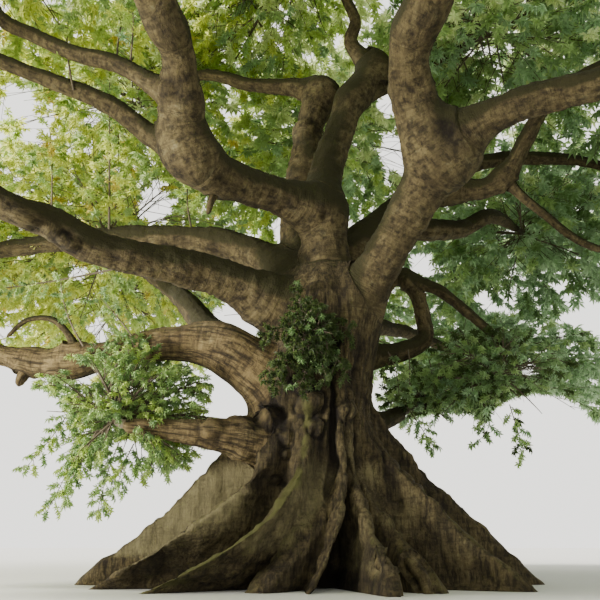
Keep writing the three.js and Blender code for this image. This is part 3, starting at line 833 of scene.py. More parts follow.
class Limb:
    """One tapering limb along a smooth path, with its collar."""

    def __init__(self, name: str, plan: LimbPlan, grown: Mapping[str, "Limb"]) -> None:
        """Lays out the path from where the limb starts on what is already grown."""
        self.name, self.plan = name, plan
        if isinstance(plan.start, tuple):
            here = np.array(plan.start)
            self.leaves = TRUNK_COLLAR
        else:
            here = grown[plan.parent].point(plan.start)
            self.leaves = grown[plan.parent].plan.girth[0] * LIMB_COLLAR
        corners = [here]
        for heading, climb, length in plan.steps:
            here = here + heading_of(heading, climb) * length
            corners.append(here)
        self.corners = np.array(corners)
        count = (len(corners) - 1) * MARKS_PER_STEP
        self.marks = np.array([self.point(i / count) for i in range(count + 1)])
        self.travel = walked(self.marks)
        self.length = float(self.travel[-1])
        self.heading = unit(np.gradient(self.marks, axis=0))
        self.girths = self.radius_at(self.travel / self.length)

    def point(self, share: float) -> Array:
        """The place at a share of the path's own steps."""
        corners, last = self.corners, len(self.corners) - 1
        passed = min(max(share, 0.0), 1.0) * last
        step = min(int(passed), last - 1)
        part = passed - step
        before = corners[step - 1] if step else 2 * corners[0] - corners[1]
        after = corners[step + 2] if step + 2 <= last else 2 * corners[last] - corners[last - 1]
        here, there = corners[step], corners[step + 1]
        leave, arrive = (there - before) / 2, (after - here) / 2
        cubic = 2 * here - 2 * there + leave + arrive
        square = -3 * here + 3 * there - 2 * leave - arrive
        return cubic * part**3 + square * part**2 + leave * part + here

    def radius_at(self, share: Array) -> Array:
        """Radius at each share of the limb's length."""
        thick, thin = self.plan.girth
        past = np.maximum(0, share * self.length - self.leaves) / (COLLAR_LENGTH * thick)
        return thick + (thin - thick) * share + thick * COLLAR_SWELL * np.exp(-past)

    def at_travel(self, travel: Array) -> tuple[Array, Array]:
        """Places and directions at distances along the limb."""
        return place_on(self.marks, self.travel, travel), unit(place_on(self.heading, self.travel, travel))

    def distance(self, points: Array) -> tuple[Array, Array]:
        """Distance from the limb's surface, less than 0 inside, and the direction in which it grows."""
        best = np.full(len(points), 1e9)
        nearest = np.zeros(len(points), int)
        for mark, (place, girth) in enumerate(zip(self.marks, self.girths)):
            gap = np.linalg.norm(points - place, axis=1) - girth
            closer = gap < best
            best[closer] = gap[closer]
            nearest[closer] = mark
        place, heading = self.marks[nearest], self.heading[nearest]
        slide = np.sum((points - place) * heading, axis=1)
        stride = self.length / (len(self.marks) - 1)
        slide = np.clip(slide, -stride, stride)
        away = points - (place + heading * slide[:, None])
        length = np.linalg.norm(away, axis=1)
        return length - self.girths[nearest], unit(away)

    def grid(self, spacing: float, sides: int) -> tuple[Array, Array]:
        """Rings of points round the limb, and for each its place in the bark's own grain."""
        root = float(self.girths[0])
        bend = np.radians(ROOT_CAP)
        count = max(FEWEST_RINGS, round(self.length / spacing))
        travel = np.concatenate([-root * np.sin(bend), np.linspace(0, self.length, count)])
        place, heading = self.at_travel(np.maximum(travel, 0))
        place = place + heading * np.minimum(travel, 0)[:, None]
        radius = self.radius_at(np.maximum(travel, 0) / self.length)
        radius[: len(bend)] = root * np.cos(bend)
        end = np.clip(1 - (self.length - travel) / (radius[-1] * TIP_ROUND), 0, TIP_EDGE)
        radius = radius * np.sqrt(1 - end * end)
        across = unit(np.cross(heading[0], UP if abs(heading[0, 2]) < 0.9 else np.array([1.0, 0, 0])))
        turns = np.arange(sides) / sides * 2 * np.pi
        flat = np.stack([np.cos(turns), np.sin(turns)], axis=1)
        grid, grain = [], []
        for ring, ahead in enumerate(heading):
            across = unit(across - ahead * (across @ ahead))
            spoke = flat[:, :1] * across + flat[:, 1:] * np.cross(ahead, across)
            grid.append(place[ring] + spoke * radius[ring])
            grain.append(np.column_stack([flat * self.plan.girth[0], np.full(sides, travel[ring])]))
        return np.array(grid), np.array(grain)


# Wood: how the trunk and limbs grow together, and the bark's relief

SOFTNESS = 0.38
SOFT_LIMIT = (0.035, 0.16)
JOINT_RELIEF = 0.06
JOINT_SINK = 0.22
SETTLE_STEPS = 4
LEAST_STEEP = 0.25
BESIDE = 1.4
# How wide a joint's parts are, as shares of its softness
REACH_OUT = 6.0
REACH_IN = 1.6
RELIEF_BACK = 4.0
ONTO = 0.35
SINK_OVER = 2.0
# Heights between which the trunk's look changes, in metres
LOW_BARK = (1.6, 4.2)
TOP_BARK = (4.3, 5.3)
FOOT_EDGE = (0.0, 0.12)
DAMP_FOOT = (1.0, 2.2)
RIDGE_TOP = (3.0, 3.6)
LIMB_MOSS_AND_SHADE = (0.4, 1.4)
# How fine each pattern is round and along the grain: waves in a metre, or in a limb's radius for muscle
TRUNK_FISSURES = np.array([3.6, 3.6, 0.75])
TRUNK_CRACKS = np.array([9.0, 9.0, 2.1])
TRUNK_FOLDS = np.array([1.2, 1.2, 5.5])
TRUNK_WANDER = np.array([0.4, 0.4, 1.6])
LIMB_FISSURES = np.array([5.0, 5.0, 2.4])
LIMB_RINGS = np.array([0.8, 0.8, 4.2])
LIMB_MUSCLE = np.array([1.1, 1.1, 0.22])
FLUTE_RISE, FLUTES_ROUND = 0.22, 3.1
# A knot's cap, hollow and the moat round it, in radii of the knot, and how much painted shade each metre of
# them puts in the moat and the hollow
CAP_EDGE, HOLLOW_EDGE, HOLLOW_SHADE = 0.8, 0.42, 0.45
MOAT_AT, MOAT_WIDTH, MOAT_DEPTH = 1.1, 0.2, 0.22
RISE_DARK, DIP_DARK = 6, 11


class Pattern(IntEnum):
    """The seed of each pattern of noise on the wood."""

    LUMPS = 3
    WARP = 5
    FLUTES = 11
    FISSURES = 21
    CRACKS = 31
    FOLDS = 41
    GRIT = 51
    MUSCLE = 61
    RINGS = 71
    DAMP = 81
    RAGGED = 91
    WANDER = 101
    WINDING = 111


def settle(
    points: Array, own: Limb | Trunk, others: Sequence[Limb | Trunk], soft: float
) -> tuple[Array, Array, Array]:
    """Moves points of one body out onto the smooth joint that it makes with its neighbours.

    Args:
        points: Points on the body's own surface.
        own: The body itself.
        others: What it grows into or carries.
        soft: How wide the joint is.

    Returns:
        The points in their new places, how much of the bark's relief each keeps, and how far each sinks.
    """
    nearest = np.min([other.distance(points)[0] for other in others], axis=0)
    relief = JOINT_RELIEF + (1 - JOINT_RELIEF) * smooth(nearest, soft, soft * RELIEF_BACK)
    near = (nearest < soft * REACH_OUT) & (nearest > -soft * REACH_IN)
    sink = np.zeros(len(points))
    if not near.any():
        return points, relief, sink
    ease = smooth(nearest[near], -soft * REACH_IN, -soft * ONTO)
    start = points[near]
    moved = start.copy()
    for _ in range(SETTLE_STEPS):
        pairs = [body.distance(moved) for body in (own, *others)]
        gaps = np.stack([gap for gap, _ in pairs])
        slopes = np.stack([slope for _, slope in pairs])
        lowest = gaps.min(axis=0)
        weight = np.exp(-(gaps - lowest) / soft)
        total = weight.sum(axis=0)
        outside = lowest - soft * np.log(total)
        slope = np.sum(slopes * (weight / total)[:, :, None], axis=0)
        steep = np.maximum(np.sum(slope * slope, axis=1), LEAST_STEEP)
        moved = moved - slope * (outside / steep)[:, None]
    result = points.copy()
    result[near] = start + (moved - start) * ease[:, None]
    inner = np.min([other.distance(moved)[0] for other in others], axis=0)
    sink[near] = smooth(own.distance(moved)[0] - inner, 0, soft * SINK_OVER) * soft * JOINT_SINK
    return result, relief, sink


KNOTS: tuple[Knot, ...] = (
    Knot((2.03, -3.02, 8.37), 0.17, 0.035, 0.045),
    # With no rise, these two are only hollows with painted shade: the dark fold where right_rising and
    # right_outer part.
    Knot((2.42, -2.95, 8.06), 0.52, 0.0, 0.08),
    Knot((2.46, -2.91, 7.68), 0.50, 0.0, 0.08),
    Knot((-1.89, -1.40, 2.68), 0.22, 0.09, 0.04),
    Knot((-0.30, 1.05, 10.45), 0.40, 0.10),
    Knot((-4.58, -2.92, 5.70), 0.27, 0.10),
    Knot((-4.36, -2.82, 5.60), 0.25, 0.13),
    Knot((-2.72, -3.37, 8.38), 0.20, 0.07, 0.03),
    Knot((-2.21, 0.65, 7.02), 0.34, 0.0, 0.04),
    Knot((-0.88, -0.88, 2.95), 0.28, 0.16, 0.06),
    Knot((0.24, -0.78, 7.15), 0.14, -0.03, 0.04),
    Knot((0.18, -0.62, 6.37), 0.22, 0.05),
    Knot((-0.19, -1.15, 3.56), 0.22, 0.15, 0.03),
    Knot((-0.10, -1.18, 3.16), 0.27, 0.22),
    Knot((-0.03, -1.22, 2.74), 0.20, 0.15),
    Knot((-0.50, -1.11, 2.55), 0.15, 0.12),
    Knot((-0.55, -1.05, 2.25), 0.11, 0.09),
    Knot((-0.73, -1.05, 1.81), 0.11, 0.08),
    Knot((-0.87, -1.06, 2.95), 0.27, 0.19, 0.07),
    Knot((0.62, -1.12, 3.05), 0.20, 0.07),
    Knot((-1.15, -1.44, 1.61), 0.16, 0.06),
)


@dataclass(frozen=True)
class Furrow:
    """A deep crack beside a fold, darkened with painted shade: its turn from the fold's crest, its depth and
    width, and its heights.
    """

    rib: str
    turn: float
    depth: float
    width: float
    low: float
    high: float


FURROWS: tuple[Furrow, ...] = (
    Furrow("hollow_left_fold", -7.0, 0.13, 0.045, 1.2, 4.8),
    Furrow("hollow_left_fold", 4.0, 0.06, 0.03, 1.5, 3.6),
    Furrow("hollow_right_fold", 7.0, 0.08, 0.035, 1.3, 4.4),
    Furrow("moss_ridge", 13.0, 0.05, 0.04, 1.4, 3.8),
    Furrow("right_inner_root", 9.0, 0.05, 0.04, 0.9, 2.6),
)


@dataclass(frozen=True)
class PaleFace:
    """A smooth face beside a buttress's crest: from and to how far beside it, its heights, and how pale."""

    rib: str
    near: float
    far: float
    low: float
    high: float
    strength: float


PALE_FACES: tuple[PaleFace, ...] = (
    PaleFace("moss_ridge", 0.05, 0.55, 0.45, 2.2, 0.55),
    PaleFace("left_plate", 0.05, 1.1, 0.35, 2.2, 0.72),
    PaleFace("left_fore_plate", -0.05, 0.14, 0.15, 1.7, 0.7),
    PaleFace("hollow_left_fold", -0.06, 0.08, 0.2, 2.6, 0.4),
    PaleFace("hollow_right_fold", -0.1, 0.12, 0.15, 2.6, 0.45),
    PaleFace("right_inner_root", -0.2, 0.1, 0.8, 2.2, 0.4),
    PaleFace("right_fore_plate", -0.35, -0.05, 0.3, 2.2, 0.3),
)


@dataclass(frozen=True)
class TrunkRelief:
    """How far each kind of relief stands out on the trunk, in metres."""

    lump: float = 0.07
    low_lump: float = 0.05
    flute: float = 0.06
    high_flute: float = 0.03
    fissure: float = 0.05
    fine: float = 0.02
    fold: float = 0.03
    top_fold: float = 0.02
    grit: float = 0.022


@dataclass(frozen=True)
class LimbRelief:
    """How far each kind of relief stands out on a limb, as shares of its radius."""

    swell: float = 0.13
    muscle: float = 0.09
    fissure: float = 0.035
    ring: float = 0.05
    fine: float = 0.05


@dataclass
class Wood:
    """The trunk and its limbs as skins with bark, grown together where they meet."""

    trunk: Trunk = field(default_factory=Trunk)
    limbs: dict[str, Limb] = field(default_factory=dict)
    trunk_relief: TrunkRelief = TrunkRelief()
    limb_relief: LimbRelief = LimbRelief()
    ring_spacing: float = 0.055
    full_detail: float = 16.0
    thick_limb: float = 0.25
    thick_sides: int = 40
    thin_sides: int = 26
    moss_width: float = 0.12
    moss_flank: float = 0.42

    def __post_init__(self) -> None:
        """Lays out each limb on what it grows from."""
        for name, plan in {**LIMB_PLANS, **STUB_PLANS}.items():
            self.limbs[name] = Limb(name, plan, self.limbs)

    def neighbours(self, limb: Limb) -> list[Limb | Trunk]:
        """What a limb grows from, what it carries, and what starts beside it."""
        parent = limb.plan.parent
        found: list[Limb | Trunk] = [self.trunk if parent == "trunk" else self.limbs[parent]]
        for other in self.limbs.values():
            gap = np.linalg.norm(other.corners[0] - limb.corners[0])
            is_beside = other.plan.parent == parent and gap < BESIDE
            if other is not limb and (other.plan.parent == limb.name or is_beside):
                found.append(other)
        return found

    def knotted(self, points: Array) -> tuple[Array, Array]:
        """Height of burls and scars at each point, and the painted shade in the moats and hollows round them.
        """
        height, shade = np.zeros(len(points)), np.zeros(len(points))
        winding = 1 + layered(points * 4, 3, Pattern.WINDING) * 0.34
        for knot in KNOTS:
            away = np.linalg.norm(points - np.array(knot.place), axis=1) / knot.radius * winding
            moat = gauss(away - MOAT_AT, MOAT_WIDTH)
            cap = np.exp(-((away / CAP_EDGE) ** 4)) - MOAT_DEPTH * moat
            height += knot.rise * cap - knot.dip * gauss(away, HOLLOW_EDGE)
            # Painted shade in the moat round a burl and in a knot's hollow.
            shade += moat * min(knot.rise * RISE_DARK, 0.8)
            shade += min(knot.dip * DIP_DARK, 0.9) * gauss(away, HOLLOW_SHADE)
        return height, shade

    def furrowed(self, heading: Array, points: Array) -> Array:
        """How deep each point is in the furrows that climb beside the folds, which are darkened with painted
        shade.
        """
        depth, z = np.zeros(len(points)), points[:, 2]
        wander = layered(points * TRUNK_WANDER, 3, Pattern.WANDER) * 0.07
        for furrow in FURROWS:
            beside = self._beside(furrow.rib, heading - furrow.turn, points) + wander
            climb = smooth(z, furrow.low, furrow.low + 0.5) * (1 - smooth(z, furrow.high - 0.8, furrow.high))
            depth += furrow.depth * gauss(beside, furrow.width) * climb
        return depth

    def _beside(self, rib: str, heading: Array, points: Array) -> Array:
        """Distance of each point from a buttress's crest, more than 0 to its right as seen from outside."""
        middle, _ = self.trunk.rib_at(self.trunk.ribs[rib], points[:, 2])
        away = np.mod(heading - middle + 180, 360) - 180
        return np.radians(away) * np.hypot(points[:, 0], points[:, 1])

    def smooth_faces(self, heading: Array, points: Array) -> Array:
        """How pale and smooth each point's bark is: the broad flanks in front and the crests of the folds."""
        z = points[:, 2]
        total = np.zeros(len(points))
        for face in PALE_FACES:
            beside = self._beside(face.rib, heading, points)
            across = smooth(beside, face.near - 0.08, face.near + 0.08)
            across = across * (1 - smooth(beside, face.far - 0.1, face.far + 0.15))
            climb = smooth(z, face.low, face.low + 0.25) * (1 - smooth(z, face.high - 0.3, face.high + 0.3))
            total += across * climb * face.strength
        return np.clip(total, 0, 1)

    def _on_moss_ridge(self, heading: Array, points: Array) -> Array:
        """How near each point is to the crest of the mossy buttress in front."""
        beside = self._beside("moss_ridge", heading, points)
        ragged = 0.75 + 0.5 * layered(points * 3.1, 3, Pattern.RAGGED)
        flank = smooth(beside, 0, 0.05) * gauss(beside, self.moss_flank) * 0.5
        near = np.clip(np.maximum(gauss(beside, self.moss_width) * 0.95, flank) * ragged, 0, 1)
        return near * (1 - smooth(points[:, 2], *RIDGE_TOP))

    def build_trunk(self, finish: Material) -> None:
        """Makes the trunk's skin."""
        grid = self.trunk.grid()
        shape = grid.shape
        carried = [limb for limb in self.limbs.values() if limb.plan.parent == "trunk"]
        points, relief, sink = settle(grid.reshape(-1, 3), self.trunk, carried, SOFT_LIMIT[1])
        settled = points.reshape(shape)
        normals = tube_normals(settled)
        z = points[:, 2]
        low, top, foot = 1 - smooth(z, *LOW_BARK), smooth(z, *TOP_BARK), smooth(z, *FOOT_EDGE)
        turn = np.arctan2(points[:, 1], points[:, 0] - self.trunk.lean_at(z))
        heading = np.degrees(turn)
        around = np.linalg.norm(np.roll(settled, -1, axis=1) - settled, axis=2)
        along = np.linalg.norm(np.diff(settled, axis=0, append=settled[-1:]), axis=2)
        close = 1 - smooth(np.maximum(around, along).ravel(), 0.05, 0.13)
        size = self.trunk_relief
        lumps = layered(points * 0.85, 3, Pattern.LUMPS) * (size.lump + size.low_lump * low)
        column = np.stack([np.cos(turn), np.sin(turn), z * FLUTE_RISE], axis=1)
        flutes = layered(column * FLUTES_ROUND, 3, Pattern.FLUTES)
        flutes = flutes * (size.flute + size.high_flute * (1 - low)) * (1 - 0.65 * top)
        fissures = ridged(points * TRUNK_FISSURES, Pattern.FISSURES) ** 2 * (0.35 + 0.65 * close)
        fine = ridged(points * TRUNK_CRACKS, Pattern.CRACKS) ** 2 * close
        warp = layered(points, 2, Pattern.WARP)[:, None] * 0.6
        folds = ridged(points * TRUNK_FOLDS + warp, Pattern.FOLDS) ** 3
        height = lumps + flutes - fissures * size.fissure * (1 - 0.6 * top) - fine * size.fine
        height += folds * (size.fold + size.top_fold * top) * (1 - low)
        height += layered(points * 6, 3, Pattern.GRIT) * size.grit * close
        furrow = self.furrowed(heading, points)
        faces = self.smooth_faces(heading, points)
        bumps, shade = self.knotted(points)
        height = height * relief * foot * (1 - faces * 0.3) + bumps - furrow - sink
        points = points + normals * height[:, None]
        points[:, 2] = np.maximum(points[:, 2], 0.0)
        points[: shape[1], 2] = 0.0
        z = points[:, 2]
        # Painted shade: darker in fissures, between lumps and flutes, in the hollow, in the furrows and round
        # the knots.
        crease_shade = np.clip(fissures * 0.5 + fine * 0.3 - lumps * 2.2 - flutes * 5.0, 0, 1) * (1 - faces * 0.6)
        crease_shade = crease_shade + self.trunk.hollow_share(heading, z) * 0.85 + furrow * 9.0 + shade
        moss_and_top_shade = smooth(normals[:, 2], 0.15, 0.7) * 0.4 * (1 - smooth(z, *DAMP_FOOT))
        moss_and_top_shade = moss_and_top_shade + self._on_moss_ridge(heading, points)
        poles = np.array([[0, 0, 0], [self.trunk.lean, 0, self.trunk.height]])
        marks = {"crease_shade": np.clip(crease_shade, 0, 1), "moss_and_shade": np.clip(moss_and_top_shade, 0, 1), "bare": faces}
        dress(skin("trunk_bark", points, shape, poles, marks), finish, ["trunk"])

    def build_limb(self, limb: Limb, finish: Material) -> None:
        """Makes one limb's skin."""
        thick = limb.plan.girth[0]
        sides = self.thick_sides if thick > self.thick_limb else self.thin_sides
        away = float(np.linalg.norm(limb.marks.mean(axis=0) - EYE))
        grid, rings = limb.grid(self.ring_spacing * max(1.0, away / self.full_detail), sides)
        soft = min(max(thick * SOFTNESS, SOFT_LIMIT[0]), SOFT_LIMIT[1])
        points, relief, sink = settle(grid.reshape(-1, 3), limb, self.neighbours(limb), soft)
        normals = tube_normals(points.reshape(grid.shape))
        grain = rings.reshape(-1, 3)
        girth = np.repeat(limb.radius_at(np.clip(rings[:, 0, 2] / limb.length, 0, 1)), sides)
        size = self.limb_relief
        swell = layered(points * 1.3, 3, Pattern.LUMPS) * size.swell
        muscle = layered(grain / thick * LIMB_MUSCLE, 2, Pattern.MUSCLE) * size.muscle
        fissures = ridged(grain * LIMB_FISSURES, Pattern.FISSURES) ** 2
        warp = layered(points, 2, Pattern.WARP)[:, None] * 0.5
        bands = ridged(grain * LIMB_RINGS + warp, Pattern.RINGS) ** 4
        fine = layered(points * 8, 2, Pattern.GRIT)
        height = (swell + muscle - fissures * size.fissure + bands * size.ring + fine * size.fine) * girth
        bumps, shade = self.knotted(points)
        height = height * relief + bumps - sink
        points = points + normals * height[:, None]
        points[:, 2] = np.maximum(points[:, 2], 0.0)
        # Painted shade: darker in fissures, between swellings and round the knots.
        crease_shade = np.clip(fissures * 0.3 - fine * 0.35 - swell * 1.1 + shade, 0, 1)
        # Painted shade with a mossy colour: the upper side of level limbs is darker, with a ragged edge.
        level = np.sqrt(1 - np.clip(limb.at_travel(grain[:, 2])[1][:, 2], -1, 1) ** 2)
        upward = normals[:, 2] - (1 - level) * 0.6 + layered(points * 1.7, 2, Pattern.DAMP) * 0.35
        is_rough = limb.name in FIBROUS_LIMBS
        moss_and_top_shade = smooth(upward, -0.1, 0.9) * 0.5 if is_rough else smooth(upward, -0.75, 0.3)
        marks = {
            "crease_shade": crease_shade,
            "moss_and_shade": moss_and_top_shade * smooth(points[:, 2], *LIMB_MOSS_AND_SHADE),
            "grain": np.vstack([grain, [[0, 0, 0], [0, 0, limb.length]]]),
        }
        poles = np.stack([points[:sides].mean(axis=0), points[-sides:].mean(axis=0)])
        piece = skin(f"{limb.name}_bark", points, grid.shape, poles, marks)
        dress(piece, finish, [limb.name if limb.name in LIMB_PLANS else limb.plan.parent])

    def build(self) -> None:
        """Makes the trunk and every limb."""
        trunk_finish = BarkFinish(
            "trunk bark",
            Grain.PLACE,
            pale=(0.106, 0.082, 0.037, 1),
            mid=(0.030, 0.022, 0.0095, 1),
            moss_and_shade=(0.053, 0.052, 0.016, 1),
            lichen=(0.148, 0.130, 0.067, 1),
            fibre_dark=0.62,
        )
        self.build_trunk(trunk_finish.material())
        limb_finish = BarkFinish(
            "bough bark",
            Grain.LIMB,
            pale=(0.122, 0.096, 0.044, 1),
            mid=(0.054, 0.040, 0.0175, 1),
            # Near black: a mossy colour and painted shade on the limbs' tops.
            moss_and_shade=(0.021, 0.019, 0.0065, 1),
            fibre_stretch=(12.0, 12.0, 5.0),
            crack_stretch=(4.0, 4.0, 4.0),
            wrinkle_stretch=(1.6, 1.6, 17.0),
            wrinkle_depth=0.05,
            wrinkle_dark=0.3,
            fibre_dark=0.4,
        ).material()
        fibrous_finish = BarkFinish(
            "fibrous bark",
            Grain.LIMB,
            pale=(0.195, 0.145, 0.066, 1),
            mid=(0.078, 0.053, 0.023, 1),
            # Darker than the bark: a mossy colour and painted shade on these limbs' tops.
            moss_and_shade=(0.036, 0.031, 0.010, 1),
            fibre_stretch=(14.0, 14.0, 1.6),
            crack_stretch=(6.0, 6.0, 1.6),
            wrinkle_depth=0.05,
            fibre_dark=0.75,
        ).material()
        for limb in self.limbs.values():
            rough = limb.name in FIBROUS_LIMBS
            self.build_limb(limb, fibrous_finish if rough else limb_finish)


# Foliage


class Tint(Enum):
    """The leaf tints that are dealt out by spray."""

    GOLD = "gold"
    FRESH = "fresh"
    MID = "mid"
    DEEP = "deep"
    BLUE = "blue"
    SHADE = "shade"
    AMBER = "amber"
    HIGH = "high"


# GOLD is in part painted sunlight on the left, HIGH is painted light on the crown's top, and SHADE is painted
# shade for leaves under the crown.
LEAF_FINISHES: dict[Tint, LeafFinish] = {
    Tint.GOLD: LeafFinish("leaf gold", (0.25, 0.31, 0.075, 1), (0.90, 0.96, 0.25, 1)),
    Tint.FRESH: LeafFinish("leaf fresh", (0.17, 0.25, 0.070, 1), (0.74, 0.88, 0.29, 1)),
    Tint.MID: LeafFinish("leaf mid", (0.13, 0.21, 0.075, 1), (0.63, 0.80, 0.37, 1)),
    Tint.DEEP: LeafFinish("leaf deep", (0.08, 0.14, 0.055, 1), (0.40, 0.57, 0.26, 1)),
    Tint.BLUE: LeafFinish("leaf blue", (0.13, 0.22, 0.115, 1), (0.60, 0.79, 0.50, 1)),
    Tint.SHADE: LeafFinish("leaf shade", (0.050, 0.080, 0.026, 1), (0.11, 0.16, 0.045, 1)),
    Tint.AMBER: LeafFinish("leaf amber", (0.29, 0.26, 0.06, 1), (0.98, 0.88, 0.25, 1)),
    Tint.HIGH: LeafFinish("leaf high", (0.25, 0.33, 0.15, 1), (0.93, 1.0, 0.62, 1), 0.74),
}


@dataclass(frozen=True)
class Mass:
    """A mass of foliage: its space, its limb, how full it is, its sprays' size and how far they hang."""

    name: str
    limb: str
    at: tuple[float, float, float]
    reach: tuple[float, float, float]
    fullness: float
    grain: float
    hang: float = 0.0


@dataclass(frozen=True)
class Sprig:
    """A thin branch with sprays of its own: its foot, its tip, its radius, and where its leaves start."""

    mass: str
    foot: tuple[float, float, float]
    tip: tuple[float, float, float]
    radius: float
    bare: float = 0.4


MASSES: tuple[Mass, ...] = (
    Mass("crown_top", "leader_left", (-0.6, 0.9, 16.9), (4.6, 4.6, 2.5), 1.3, 1.3),
    Mass("crown_right", "leader_right", (5.6, 2.6, 14.7), (4.7, 4.7, 3.1), 1.75, 1.1),
    Mass("crown_rear", "rear_high", (0.5, 7.6, 13.7), (4.7, 4.7, 3.3), 2.0, 1.14),
    Mass("crown_rear_left", "back_left_high", (-6.2, 5.6, 13.7), (4.7, 4.7, 3.2), 1.45, 1.05),
    Mass("crown_left", "upper_left_high", (-7.4, -1.4, 14.3), (4.6, 4.6, 2.9), 1.0, 1.22),
    Mass("crown_front_left", "upper_left_rising", (-3.6, -6.8, 14.6), (4.6, 4.6, 2.8), 1.1, 1.4),
    Mass("crown_front_right", "right_rising", (3.9, -5.7, 15.0), (4.6, 4.6, 2.9), 1.1, 1.4),
    Mass("skirt_right_low", "right_thin", (12.4, -0.6, 7.6), (3.8, 4.2, 2.6), 1.1, 1.35),
    Mass("skirt_right", "right_mid", (10.5, 0.9, 12.5), (4.5, 4.5, 3.2), 1.1, 1.3),
    Mass("skirt_right_rear", "right_far", (12.0, 5.4, 9.2), (4.3, 4.3, 3.3), 1.25, 1.3),
    Mass("skirt_rear_right", "right_back", (7.6, 8.7, 11.0), (4.7, 4.7, 3.4), 2.1, 1.14),
    Mass("skirt_rear_low", "rear_right", (7.4, 12.2, 7.0), (4.4, 3.8, 2.6), 2.0, 1.15),
    Mass("skirt_rear", "rear", (0.4, 13.0, 9.9), (4.6, 4.0, 3.3), 1.7, 1.2),
    Mass("skirt_rear_left", "rear_left", (-7.3, 11.5, 9.6), (4.6, 4.4, 3.3), 1.3, 1.15),
    Mass("skirt_left_rear", "left_back", (-12.0, 5.6, 9.0), (4.2, 4.4, 3.0), 1.1, 1.35),
    Mass("skirt_left_low", "left_middle", (-12.5, 0.4, 6.6), (3.6, 3.6, 2.3), 1.1, 1.35),
    Mass("skirt_left", "left_front", (-12.0, -5.3, 9.5), (4.1, 4.1, 2.8), 1.1, 1.4),
    Mass("crown_left_low", "upper_left_low", (-11.0, -2.0, 12.2), (4.3, 4.3, 2.9), 1.1, 1.35),
    Mass("skirt_front_left", "upper_left_fore", (-6.1, -11.5, 10.4), (4.8, 3.9, 2.8), 1.1, 1.4),
    Mass("skirt_front_right", "right_fore", (5.5, -11.6, 10.6), (4.8, 3.9, 2.8), 1.1, 1.4),
    Mass("skirt_right_fore", "right_outer", (11.3, -6.3, 10.2), (4.3, 4.3, 2.9), 1.1, 1.4),
    Mass("crown_inner_left", "left_riser", (-6.3, 5.2, 9.3), (4.4, 4.4, 2.9), 1.2, 0.85),
    Mass("low_left_sprays", "left_low", (-3.7, -0.3, 3.2), (1.75, 1.4, 1.4), 1.9, 0.46, 0.5),
    Mass("low_right_sprays", "right_low_outer", (4.0, 1.2, 4.1), (1.7, 1.5, 1.1), 1.4, 0.5, 0.6),
    Mass("stub_sprays", "right_stub", (2.8, 2.4, 4.0), (1.2, 1.1, 0.8), 1.4, 0.5, 0.5),
    Mass("trunk_shoots", "", (-0.10, -1.6, 4.45), (0.5, 0.42, 0.62), 2.2, 0.42, 0.9),
)

MASS_NAMES = [mass.name for mass in MASSES]
TWIG_SIDES = 3

# Spaces between the masses that twigs grow into as well
INNER_MASSES: tuple[Mass, ...] = (
    Mass("inner_top", "leader_left", (-1.8, 3.0, 15.0), (2.5, 2.3, 1.4), 1.0, 0.95),
    Mass("inner_left", "back_left_high", (-4.2, 4.0, 15.4), (2.2, 2.2, 1.4), 0.8, 0.95),
    Mass("inner_right", "leader_right", (3.4, 4.5, 15.0), (2.2, 2.2, 1.5), 0.8, 0.95),
)

